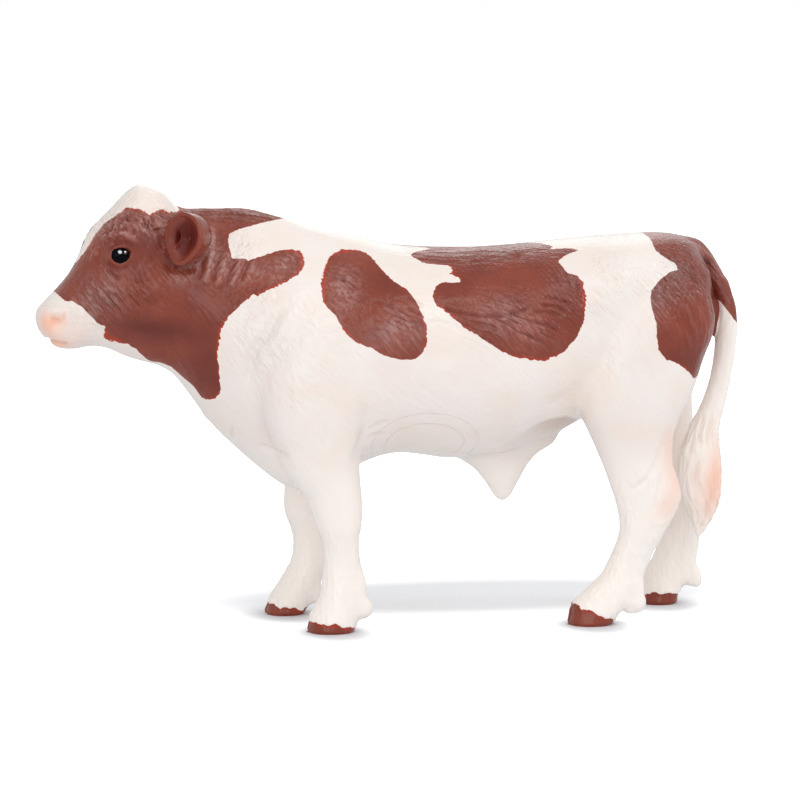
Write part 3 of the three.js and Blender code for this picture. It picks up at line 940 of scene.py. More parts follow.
BODY_RIMS = rows(
    Mound, (298, 262, 2.4, 3.6, 1), (268, 290, 6, 1.4, 0.6, -30), (221, 335, 1.6, 7, 0.7),
    (214, 398, 3, 1.5, 0.4), (324, 280, 1.4, 5, 1.1), (342, 252, 3.4, 1.2, 0.9),
    (345, 336, 4, 2.6, 0.5, 40), (426, 330, 1.4, 5, 0.6), (584, 290, 1.2, 6, 0.8),
    (540, 358, 10, 1.4, 0.5), (450, 318, 5, 2, 0.5, 38), (112, 336, 3.4, 1.8, 1.3),
    (125, 211, 5, 1.2, 0.5), (162, 212, 4, 1.2, 0.5), (455, 271, 2, 1.4, 0.5), (684, 368, 4, 1, 0.3),
    (332, 627, 5.4, 1.4, 0.7), (592, 616, 5, 2, 0.6),
)
# Where the brown is glossier, and where it takes a painted sheen.
BODY_SHEEN = rows(
    Mound, (512, 322, 9, 4.6, 0.7, 25), (98, 298, 7, 4.6, 0.9, -40), (345, 288, 4, 6, 0.9),
    (286, 266, 5, 2.6, 1, -30), (212, 240, 1.6, 5, 0.9), (226, 268, 8, 3, 0.8, 12),
    (668, 280, 6, 5, 0.6, -30), (656, 296, 2.4, 5, 0.5), (402, 330, 6, 5, 0.9), (182, 279, 3.4, 2, 0.7),
    (108, 222, 7, 2.6, 0.5, -38), (152, 226, 4.6, 3.4, 0.6), (568, 280, 3, 5, 0.5, 60),
    (450, 251, 16, 1.4, 0.3), (236, 211, 12, 1.6, 0.5), (700, 252, 7, 1.6, 0.7, 45),
    (724, 290, 1.4, 6, 0.6, -14),
)
# Painted shade on the brown at these places, most of them under the jaw, down the neck and by the ear.
BODY_PAINTED_SHADE = rows(
    Mound, (150, 329, 10, 2.2, 0.6, 6), (200, 322, 7, 8, 0.25), (176, 262, 3, 2, 0.8),
    (212, 372, 5, 8, 0.5), (150, 240, 3, 3, 0.4), (690, 360, 6, 4, 0.4), (470, 275, 8, 3, 0.25),
    (392, 270, 3, 5, 0.3),
)
BODY_COMBED = rows(
    Mound, (674, 278, 7, 6, 1.3), (490, 252, 20, 2.4, 0.6), (240, 211, 12, 2.4, 0.8),
    (606, 290, 4, 7, 0.5), (258, 335, 4, 8, 0.5), (96, 302, 6, 4.6, 0.5, -40), (560, 285, 4, 5, 0.5),
    (655, 300, 2.4, 6, 0.6),
)
BODY_WRINKLES = rows(
    Mound, (515, 325, 14, 7, 1), (400, 320, 6, 5, 1), (345, 285, 5, 6, 0.8), (110, 225, 6, 4, 0.6),
)


@dataclass
class Casting:
    """One casting of the figure, carved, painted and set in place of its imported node."""

    name: str
    slot: str = "cream_skin"

    def settle(self, mesh: bpy.types.Mesh, finish: bpy.types.Material) -> None:
        """Turns a mesh into the finished piece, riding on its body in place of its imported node.

        Args:
            mesh: the carved mesh, in millimetres.
            finish: its material.
        """
        mesh.transform(Matrix.Scale(MILLIMETRE, 4))
        mesh.materials.clear()
        mesh.materials.append(finish)
        mesh.polygons.foreach_set("use_smooth", [True] * len(mesh.polygons))
        piece = build_object(f"{self.name}_shell", mesh)
        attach(piece, "root")
        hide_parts(self.name)
        LOG.info("%s: %d faces", piece.name, len(mesh.polygons))


@dataclass
class HideCasting(Casting):
    """A casting whose form is a share of the fused skin."""

    levels: int = 1
    margin: float = 1.5
    carvings: tuple[Carving, ...] = BODY_CARVINGS
    mounds: tuple[Mound, ...] = BODY_MOUNDS
    lays: tuple[Lay, ...] = BODY_LAYS
    ledges: tuple[Ledge, ...] = BODY_LEDGES
    blushes: tuple[Mound, ...] = BODY_BLUSHES
    narrow: float = 1.75
    pale: float = 0.0
    full_crease: float = 0.5
    lock_shade: float = 1.3
    # How strongly raised ridges and locks take the painted highlight: gain, less, most.
    ridge_painted_glint: tuple[float, float, float] = (1.6, 0.15, 1.0)
    lock_painted_glint: tuple[float, float, float] = (2.2, 0.1, 0.8)
    every_way: float = 0.12
    main_way: float = 0.9
    limb_ends: tuple[float, float] = (40.0, 27.0)
    clump_size: float = 3.5
    under_shade: float = 0.12

    def share(self, blank: Blank) -> bpy.types.Mesh:
        """Takes this casting's share of the skin, running a little over its joints."""
        raise NotImplementedError

    def trim(self, mesh: bpy.types.Mesh) -> bpy.types.Mesh:
        """Cuts the carved skin off at its joints."""
        return mesh

    def shape(self, hide: Hide) -> np.ndarray:
        """Carves what is special to this casting, and returns how deep each point lies in it."""
        return np.zeros(len(hide.place))

    def brown(self, hide: Hide) -> np.ndarray:
        """Returns how far inside the brown paint each point is, in millimetres."""
        return COAT.inside(hide.place)

    def flank(self, hide: Hide) -> tuple[np.ndarray, np.ndarray]:
        """Looks at both flanks as the photograph shows the left one.

        Args:
            hide: the casting's skin.

        Returns:
            Each point's pixel, and how squarely it faces the camera (up to 1, below 0 for not at all).
        """
        out = hide.out * np.where(hide.place[:, 1:2] > 0.0, (1.0, -1.0, 1.0), 1.0)
        return VIEW.pixels(mirrored(hide.place)), out @ VIEW.axes()[2]

    def carve(self, hide: Hide) -> np.ndarray:
        """Carves the marks seen in the photograph on both flanks, and the coat's relief.

        Args:
            hide: the casting's skin.

        Returns:
            How deep each point lies in a crease, from 0 to 1.
        """
        pixels, facing = self.flank(hide)
        seen, broad = ease(*SEEN, facing), ease(*BROAD, facing)
        rise = total(self.mounds, pixels) * broad
        for ledge in self.ledges:
            rise += ledge.rise(pixels) * broad
        marks, wrap, ridges = np.zeros((3, len(pixels)))
        for carving in self.carvings:
            mark = carving.rise(pixels)
            if carving.depth < 0.0:
                ridges += mark * seen
            if carving.around:
                wrap += mark
            elif carving.width < self.narrow:
                marks += mark * seen
            else:
                rise += mark * seen
        hide.lift(rise + marks + wrap)
        locks = sum((lay.rise(pixels, hide.place) for lay in self.lays), np.zeros(len(pixels)))
        hide.lift(locks)
        # The crest attribute says how much painted highlight each raised ridge and lock takes.
        crests = ((ridges, self.ridge_painted_glint), (locks, self.lock_painted_glint))
        crest = sum(np.clip(high * gain - less, 0.0, most) for high, (gain, less, most) in crests)
        hide.mark("crest", crest)
        return np.clip(-(marks + wrap) / self.full_crease - locks * self.lock_shade, 0.0, 1.0)

    def paint(self, hide: Hide, hollow: np.ndarray) -> None:
        """Keeps what the coat's finish reads at each point.

        Args:
            hide: the carved skin.
            hollow: how deep each point lies in a crease, which the finish darkens as painted shade.
        """
        pixels, facing = self.flank(hide)
        limb = ease(*self.limb_ends, hide.place[:, 2])
        ways = {way: np.full(len(pixels), self.every_way) for way in Way}
        ways[Way.SLANT] += self.main_way * (1.0 - limb)
        ways[Way.DOWN] += self.main_way * limb
        for way, area in BODY_COMBS:
            ways[way] += area.lift(pixels)
        whole = sum(ways.values())
        for way, weight in ways.items():
            hide.mark(way.name.lower(), weight / whole)
        clumps = 0.75 + 0.55 * grain(hide.place / self.clump_size, 32)
        tufts = (0.25 + 0.08 * limb + total(BODY_TUFTS, pixels)) * clumps
        # Painted shade on the underside, behind each ledge's edge, strongest at the groin.
        depths = (ease(0.0, 0.5, ledge.edge.inside(pixels)) for ledge in self.ledges)
        under = sum(depths, np.zeros(len(pixels)))
        sideways = ease(*SIDEWAYS, facing)
        layers = {
            "tufts": np.clip(tufts, 0.04, 1.4),
            "limb": np.maximum(limb, self.pale),
            "under": under * (self.under_shade + GROIN_SHADE.lift(pixels)) * (1.0 - limb),
            "brown": self.brown(hide),
            "hollow": hollow,
            "rim": np.clip(total(BODY_RIMS, pixels), 0.0, 1.3),
            "pink": np.clip(total(self.blushes, pixels) * ease(*SEEN, facing), 0.0, 1.0),
            # sheen: a glossier coat, and a painted sheen on the brown.
            "sheen": np.clip(total(BODY_SHEEN, pixels), 0.0, 1.0),
            # deep: painted shade on the brown.
            "deep": np.clip(total(BODY_PAINTED_SHADE, pixels), 0.0, 1.0),
            "wrinkles": np.clip(total(BODY_WRINKLES, pixels), 0.0, 1.0) * sideways,
            "combed": np.clip(total(BODY_COMBED, pixels), 0.0, 1.0) * sideways,
        }
        for name, values in layers.items():
            hide.mark(name, values)

    def build(self, blank: Blank, finish: bpy.types.Material) -> None:
        """Makes the casting.

        Args:
            blank: the fused skin.
            finish: the coat's material.
        """
        hide = Hide(self.share(blank))
        hollow = self.carve(hide)
        self.paint(hide, np.maximum(hollow, self.shape(hide)))
        self.settle(self.trim(hide.mesh), finish)


def without(mesh: bpy.types.Mesh, gone: np.ndarray) -> bpy.types.Mesh:
    """Copies a mesh without some of its faces.

    Args:
        mesh: the mesh, which is kept.
        gone: True for each face to leave out.

    Returns:
        The copy.
    """
    body = bmesh.new()
    body.from_mesh(mesh)
    body.faces.ensure_lookup_table()
    faces = [body.faces[k] for k in np.flatnonzero(gone)]
    bmesh.ops.delete(body, geom=faces, context="FACES")
    return mesh_of(body, mesh.name)


def middles(mesh: bpy.types.Mesh) -> np.ndarray:
    """Returns the middle of each face of a mesh, one row each."""
    found = np.zeros(len(mesh.polygons) * 3)
    mesh.polygons.foreach_get("center", found)
    return found.reshape(-1, 3)


@dataclass
class Head(HideCasting):
    """The head, from the muzzle to the folds of the neck."""

    name: str = "head"
    lids: Outline = Outline((
        (110.8, 256), (111.8, 251.5), (114.5, 248.4), (118.5, 247.2), (124, 247.1), (128.5, 248.6),
        (131.8, 252.2), (130.2, 257.5), (126.4, 261.8), (120.5, 264.3), (115, 262.6), (111.6, 259.4),
    ))
    lid_rise: float = 0.12
    socket: float = 1.2
    socket_shade: float = 0.5
    least_out: float = 5.0

    def share(self, blank: Blank) -> bpy.types.Mesh:
        """Takes what lies ahead of the neck's joint."""
        skin = blank.skins["body"]
        return refine(without(skin, middles(skin)[:, 0] > NECK.point[0] + self.margin), self.levels)

    def shape(self, hide: Hide) -> np.ndarray:
        """Opens the lids round the eye, with a rim, and returns the painted shade of its socket."""
        inside = self.lids.inside(VIEW.pixels(mirrored(hide.place)))
        near = np.abs(hide.place[:, 1]) > self.least_out
        hole = ease(-0.05, 0.3, inside) * self.socket
        hide.lift((bell(inside, -0.3, 0.3) * self.lid_rise - hole) * near)
        return hole * near * self.socket_shade

    def trim(self, mesh: bpy.types.Mesh) -> bpy.types.Mesh:
        """Cuts the skin off at the neck."""
        NECK.cut(mesh, keep_out=True)
        return mesh


@dataclass
class Torso(HideCasting):
    """The barrel, with the neck, shoulders, thighs, sheath and the root of the tail."""

    name: str = "torso"
    voxel: float = 0.36
    legs_start: float = 0.0
    legs_resume: float = 36.0
    lowest: float = 18.0
    most: float = 198000.0

    def share(self, blank: Blank) -> bpy.types.Mesh:
        """Takes what lies between the joints, from a skin cast anew at an even grain."""
        skin = recast(blank.skins["body"].copy(), self.voxel)
        x, _, z = middles(skin).T
        ahead = x < NECK.point[0] - self.margin
        fore = (x < self.legs_start) & (z < FORE.point[2] - self.margin)
        hind = (x > self.legs_resume) & (z < HIND.point[2] - self.margin)
        return without(skin, ahead | fore | hind | (z < self.lowest))

    def flank(self, hide: Hide) -> tuple[np.ndarray, np.ndarray]:
        """Looks at both flanks, with the marks on the right one moved along with its legs."""
        pixels, facing = super().flank(hide)
        x, y, z = hide.place.T
        right = (y > 0.0) * VIEW.scale
        pixels[:, 0] -= FAR_HIND_BACK * right * ease(50.0, 36.0, z) * ease(20.0, 36.0, x)
        pixels[:, 0] -= FAR_FORE_BACK * right * ease(40.0, 27.0, z) * ease(10.0, 0.0, x)
        return pixels, facing

    def trim(self, mesh: bpy.types.Mesh) -> bpy.types.Mesh:
        """Thins the skin's plain stretches, and cuts it off at the neck and over the legs."""
        mesh.calc_loop_triangles()
        mesh = changed(mesh, "DECIMATE", ratio=min(self.most / len(mesh.loop_triangles), 1.0))
        NECK.cut(mesh, keep_out=False)
        FORE.cut(mesh, keep_out=False, ahead_of=self.legs_start)
        HIND.cut(mesh, keep_out=False, behind=self.legs_resume)
        return mesh


@dataclass
class Leg(HideCasting):
    """A leg below its joint, with its cloven hoof and dewclaws."""

    side: Side = Side.LEFT
    hind: bool = False
    ahead: float = 0.0
    toe: tuple[float, float] = (0.0, 2.4)
    heel: tuple[float, float] = (0.0, 1.0)
    blunt: float = 0.0
    hair: float = 0.1
    lump: float = 0.08
    fringe: float = 0.14
    inset: float = 0.1
    sole_round: float = 0.45
    cleft: float = 0.45
    split: float = 0.4
    split_shade: float = 0.5
    settle_over: float = 12.0
    hair_size: Place = (0.8, 0.8, 3.0)
    lump_size: float = 3.6
    ragged: tuple[tuple[float, float, int], ...] = ((0.45, 1.5, 5), (0.2, 0.6, 6))

    @property
    def joint(self) -> Joint:
        """The joint that the limb hangs from."""
        return HIND if self.hind else FORE

    def flank(self, hide: Hide) -> tuple[np.ndarray, np.ndarray]:
        """Looks at the limb as the photograph shows the near one of its pair."""
        pixels, facing = super().flank(hide)
        pixels[:, 0] -= self.ahead * VIEW.scale
        return pixels, facing

    def shape(self, hide: Hide) -> np.ndarray:
        """Combs the short hair down the limb, and steps the hoof in under its fringe."""
        _, y, z = hide.place.T
        ahead = hide.out[:, 0]
        relief = self.hair * ridged(hide.place / self.hair_size, 41)
        relief += self.lump * grain(hide.place / self.lump_size, 42)
        top = self.joint.point[2]
        brown = self.brown(hide)
        hoof = ease(-0.15, 0.2, brown)
        fringe = self.fringe * ease(4.0, 0.0, -brown)
        hide.lift((relief * ease(top, top - self.settle_over, z) + fringe) * (1.0 - hoof) - self.inset * hoof)
        sole = np.clip(1.0 - hide.place[:, 2] / 0.8, 0.0, 1.3)
        cleft = bell(np.abs(y), Blank.foot, self.split) * hoof * ease(-0.2, -0.6, ahead)
        hide.lift(-self.sole_round * sole * sole)
        swell = self.blunt * ease(0.0, 4.2, z) * ease(11.0, 4.8, z) * ease(-0.2, -0.7, ahead)
        hide.place[:, 0] += self.cleft * cleft - swell
        hide.write()
        # Painted shade in the cleft between the toes.
        return self.split_shade * cleft

    def share(self, blank: Blank) -> bpy.types.Mesh:
        """Takes the one limb below its joint."""
        skin = blank.skins["body"]
        x, y, z = middles(skin).T
        other_end = (x < 31.0) if self.hind else (x > 5.0)
        gone = (z > self.joint.point[2] + self.margin) | (y * self.side.value < 0.0) | other_end
        return refine(without(skin, gone), self.levels)

    def trim(self, mesh: bpy.types.Mesh) -> bpy.types.Mesh:
        """Cuts the skin off at the joint and at the sole."""
        self.joint.cut(mesh, keep_out=True)
        SOLE.cut(mesh, keep_out=True)
        return mesh

    def brown(self, hide: Hide) -> np.ndarray:
        """Returns how far inside the hoof's brown each point is."""
        (front, high), (back, low) = self.toe, self.heel
        line = high + (low - high) * np.clip((hide.place[:, 0] - front) / (back - front), 0.0, 1.0)
        level = hide.place * (1.0, 1.0, 0.2)
        line += sum(size * grain(level / apart, seed) for size, apart, seed in self.ragged)
        return capped(line - hide.place[:, 2])


@dataclass
class Tail(HideCasting):
    """The tail, from its root to the tassel."""

    name: str = "tail"
    carvings: tuple[Carving, ...] = ()
    mounds: tuple[Mound, ...] = ()
    lays: tuple[Lay, ...] = ()
    blushes: tuple[Mound, ...] = (
        Mound((716, 477), (2.2, 8.0), 0.75, 4.0),
        Mound((704, 496), (3.4, 7.0), 0.3),
    )
    ledges: tuple[Ledge, ...] = ()
    pale: float = 1.0
    tip: tuple[float, float] = (62.8, 16.0)
    longer: float = 1.7
    thinner: float = 0.85
    pinch: tuple[float, float] = (0.55, 0.4)
    lock_size: Place = (1.3, 1.3, 9.0)
    hair_size: Place = (0.6, 0.6, 5.0)
    root: Outline = Outline((
        (660, 200), (690, 260), (712, 296), (720, 301), (738, 324), (770, 340), (770, 200),
    ))

    def shape(self, hide: Hide) -> np.ndarray:
        """Draws the tassel to a point and parts it into locks."""
        low = ease(27.0, self.tip[1], hide.place[:, 2])
        hide.place[:, 0] += (self.tip[0] - hide.place[:, 0]) * self.pinch[0] * low * low
        hide.place[:, 1] *= 1.0 - self.pinch[1] * low * low
        hide.place[:, 2] -= self.longer * low
        hide.write()
        x, y, z = hide.place.T
        bend = 0.8 * np.sin(z / 3.6) + 0.35 * np.sin(z / 1.6 + y)
        bent = np.stack([x + bend, y, z], axis=1)
        locks, hairs = ridged(bent / self.lock_size, 51), ridged(bent / self.hair_size, 52)
        tassel = ease(44.0, 35.0, z) * ease(14.0, 17.5, z)
        relief = tassel * (0.24 * locks + 0.2 * hairs) + (1.0 - tassel) * 0.05 * hairs
        hide.lift(relief - self.thinner * ease(67.0, 71.0, z))
        # Painted shade between the tassel's locks.
        return np.clip(tassel * (-0.9 * locks - 0.5 * hairs), 0.0, 0.6)

    def share(self, blank: Blank) -> bpy.types.Mesh:
        """Takes the tail's own skin."""
        return refine(blank.skins["tail"], self.levels)

    def brown(self, hide: Hide) -> np.ndarray:
        """Returns how far inside the brown each point is: the root is brown down to a slant."""
        return capped(self.root.inside(VIEW.pixels(hide.place)))


@dataclass
class Ear(Casting):
    """A cupped ear: a bowl with a thin rounded rim, open to the side and a little ahead."""

    slot: str = "brown_paint"
    side: Side = Side.LEFT
    middle: Place = (-43.6 + SHIFT, 15.2, 77.75)
    wide: float = 4.5
    tall: float = 5.25
    deep: float = 7.4
    hollow: float = 3.4
    full: float = 0.62
    wall: float = 0.13
    rear_wall: float = 0.11
    rounding: float = 0.16
    lip: float = 0.12
    ribs: tuple[float, float] = (0.12, 15.0)
    canal: tuple[float, float, float] = (-0.42, 0.0, 1.4)
    knob: tuple[float, float, float] = (-0.4, -0.32, 0.5)
    ahead: float = 37.0
    lean: float = 9.0
    front_drop: float = 1.0
    plain: tuple[tuple[str, float], ...] = (("brown", DEEPEST), ("tufts", 0.2), ("slant", 0.6), ("down", 0.4))

    def corner(self, turn: float) -> float:
        """Returns how wide the ear is at an angle from its rear: it narrows towards its lower end."""
        return 1.0 - 0.14 * bell(turn, -0.8, 0.6) - 0.05 * bell(turn, -2.35, 0.5)

    def spread(self, x: float, y: float) -> tuple[float, float, float]:
        """Spreads a ball's points out towards the rim of the bowl.

        Args:
            x: how far behind the middle the point is, as a share of the ball.
            y: how far above it.

        Returns:
            How near to the rim it is, from 0 to 1, its angle from the rear, and how far to spread it.
        """
        flat = max(math.hypot(x, y), POLE)
        turn = math.atan2(y, x)
        return flat ** self.full, turn, flat ** self.full / flat * self.corner(turn)

    def lining(self, x: float, y: float, z: float) -> Vector:
        """Turns a point of a ball's upper half down into the bowl.

        Args:
            x: how far behind the middle it is, as a share of the ball.
            y: how far above it.
            z: how far out.

        Returns:
            The point on the lining.
        """
        place, turn, size = self.spread(x, y)
        behind = max(x, 0.0)
        wall = (self.wall + self.rear_wall * bell(turn, -0.35, 0.9)) * ease(0.0, self.rounding, z)
        lip = self.lip * math.sin(math.pi * min(z / 0.2, 1.0)) * (1.0 + behind)
        ribs = self.ribs[0] * math.sin(turn * self.ribs[1]) * bell(place, 0.62, 0.2) * behind
        x, y = x * size * (1.0 - wall), y * size * (1.0 - wall)
        canal = self.canal[2] * bell(x, self.canal[0], 0.045) * bell(y, self.canal[1], 0.2)
        knob = self.knob[2] * bell(x, self.knob[0], 0.1) * bell(y, self.knob[1], 0.12)
        curve = 0.75 + 1.1 * max(-x, 0.0)
        slope = self.hollow * (1.0 - place) ** curve * (1.0 - 0.3 * max(x, 0.0))
        return Vector((x, y, lip - slope - canal + ribs + knob))

    def bowl(self) -> bmesh.types.BMesh:
        """Turns a ball inside itself into a bowl, with its canal and the folds of its lining.

        Returns:
            The bowl in millimetres, open along +Z, with its front towards -X.
        """
        body = bmesh.new()
        bmesh.ops.create_uvsphere(body, u_segments=144, v_segments=112, radius=1.0)
        for vert in body.verts:
            x, y, z = vert.co
            if z > 0.0:
                vert.co = self.lining(x, y, z)
            else:
                size = self.spread(x, y)[2]
                vert.co = Vector((x * size, y * size, z * self.deep))
        for vert in body.verts:
            front = max(-vert.co.x - 0.1, 0.0) / 0.9
            vert.co.z -= self.front_drop * front * front * (3.0 - 2.0 * min(front, 1.0))
        bmesh.ops.scale(body, vec=(self.wide, self.tall, 1.0), verts=body.verts)
        return body

    def build(self, finish: bpy.types.Material) -> None:
        """Makes the ear and sets it on its root.

        Args:
            finish: the coat's material.
        """
        body = self.bowl()
        body.normal_update()
        depths = np.array([
            max(-vert.co.z - 0.3, 0.0) if vert.normal.z > 0.05 and vert.co.z > -0.9 * self.deep else 0.0
            for vert in body.verts
        ])
        stand = Matrix(((1, 0, 0), (0, 0, -1), (0, 1, 0))).to_4x4()
        turn = Matrix.Rotation(math.radians(-self.ahead), 4, "Z")
        lean = Matrix.Rotation(math.radians(self.lean), 4, "Y")
        bmesh.ops.transform(body, matrix=turn @ lean @ stand, verts=body.verts)
        x, y, z = self.middle
        bmesh.ops.translate(body, vec=(x, -y, z), verts=body.verts)
        if self.side is Side.RIGHT:
            bmesh.ops.scale(body, vec=(1.0, -1.0, 1.0), verts=body.verts)
        bmesh.ops.recalc_face_normals(body, faces=body.faces)
        hide = Hide(mesh_of(body, self.name))
        for name, level in self.plain:
            hide.mark(name, np.full(len(hide.place), level))
        # Painted shade in the bowl's lining, darker further down.
        hide.mark("hollow", ease(0.1, 1.3, depths))
        self.settle(hide.mesh, finish)


@dataclass
class Eye(Casting):
    """A drop of black lacquer between the lids."""

    slot: str = "eye_lacquer"
    side: Side = Side.LEFT
    middle: Place = (-55.2 + SHIFT, 9.1, 74.4)
    radii: Place = (2.35, 2.0, 1.95)
    lean: float = 11.5
    glints: tuple[Place, ...] = ((0.045, -0.908, 0.417), (0.499, -0.753, 0.429))
    flat: float = 0.015

    def build(self, finish: bpy.types.Material) -> None:
        """Makes the eye, with two small flat places that catch the lamps.

        Args:
            finish: the lacquer's material.
        """
        body = bmesh.new()
        bmesh.ops.create_uvsphere(body, u_segments=128, v_segments=96, radius=1.0)
        bmesh.ops.scale(body, vec=self.radii, verts=body.verts)
        lean = Matrix.Rotation(math.radians(self.lean), 4, "Y")
        bmesh.ops.transform(body, matrix=lean, verts=body.verts)
        for x, y, z in self.glints:
            out = Vector((x, -y * self.side.value, z)).normalized()
            limit = max(vert.co.dot(out) for vert in body.verts) - self.flat
            for vert in body.verts:
                vert.co -= out * max(vert.co.dot(out) - limit, 0.0)
        x, y, z = self.middle
        bmesh.ops.translate(body, vec=(x, y * self.side.value, z), verts=body.verts)
        self.settle(mesh_of(body, self.name), finish)


class Value:
    """A number or colour that comes out of a shader node, for use in Python expressions."""

    def __init__(self, graph: "Graph", socket: bpy.types.NodeSocket) -> None:
        """Wraps a node's output socket."""
        self.graph = graph
        self.socket = socket

    def math(self, operation: str, *others: "Value | float") -> "Value":
        """Adds a Math node.

        Args:
            operation: the node's operation.
            others: its inputs in order, this value among them.

        Returns:
            What it gives.
        """
        node = self.graph.node("ShaderNodeMath", {"operation": operation}, dict(enumerate(others)))
        return Value(self.graph, node.outputs[0])

    def __add__(self, other: "Value | float") -> "Value":
        """Adds."""
        return self.math("ADD", self, other)

    def __radd__(self, other: float) -> "Value":
        """Adds, with the number first."""
        return self.math("ADD", other, self)

    def __sub__(self, other: "Value | float") -> "Value":
        """Takes away."""
        return self.math("SUBTRACT", self, other)

    def __rsub__(self, other: float) -> "Value":
        """Takes this away from a number."""
        return self.math("SUBTRACT", other, self)

    def __mul__(self, other: "Value | float") -> "Value":
        """Multiplies."""
        return self.math("MULTIPLY", self, other)

    def __rmul__(self, other: float) -> "Value":
        """Multiplies, with the number first."""
        return self.math("MULTIPLY", other, self)

    def __truediv__(self, other: "Value | float") -> "Value":
        """Divides."""
        return self.math("DIVIDE", self, other)

    def size(self) -> "Value":
        """Returns the number without its sign."""
        return self.math("ABSOLUTE", self)

    def top(self, other: "Value | float") -> "Value":
        """Returns the larger of two."""
        return self.math("MAXIMUM", self, other)

    def step(self, low: float, high: float) -> "Value":
        """Returns a smooth step from 0 at low to 1 at high."""
        settings = {"interpolation_type": "SMOOTHSTEP"}
        sockets = {"Value": self, "From Min": low, "From Max": high, "To Min": 0.0, "To Max": 1.0}
        return Value(self.graph, self.graph.node("ShaderNodeMapRange", settings, sockets).outputs[0])


def linear(colour: Colour) -> tuple[float, float, float, float]:
    """Turns a colour from 0 to 255, as seen on a screen, into the renderer's own numbers."""
    parts = [channel / 255.0 for channel in colour]
    red, green, blue = [
        part / 12.92 if part <= 0.04045 else ((part + 0.055) / 1.055) ** 2.4 for part in parts
    ]
    return red, green, blue, 1.0


class Graph:
    """A tree of nodes under construction."""

    def __init__(self, tree: bpy.types.NodeTree) -> None:
        """Takes the tree that the nodes go into."""
        self.tree = tree

    def node(self, kind: str, settings: dict, sockets: dict) -> bpy.types.Node:
        """Adds a node: its settings first, then its inputs.

        Args:
            kind: the node's type.
            settings: its properties by name.
            sockets: numbers, colours or Values by the input's name or number.

        Returns:
            The node.
        """
        made = self.tree.nodes.new(kind)
        for name, value in settings.items():
            setattr(made, name, value)
        for key, value in sockets.items():
            self.feed(made.inputs[key], value)
        return made

    def feed(self, socket: bpy.types.NodeSocket, value: "Value | float | Sequence[float]") -> None:
        """Links or sets an input."""
        if isinstance(value, Value):
            self.tree.links.new(value.socket, socket)
        else:
            socket.default_value = value


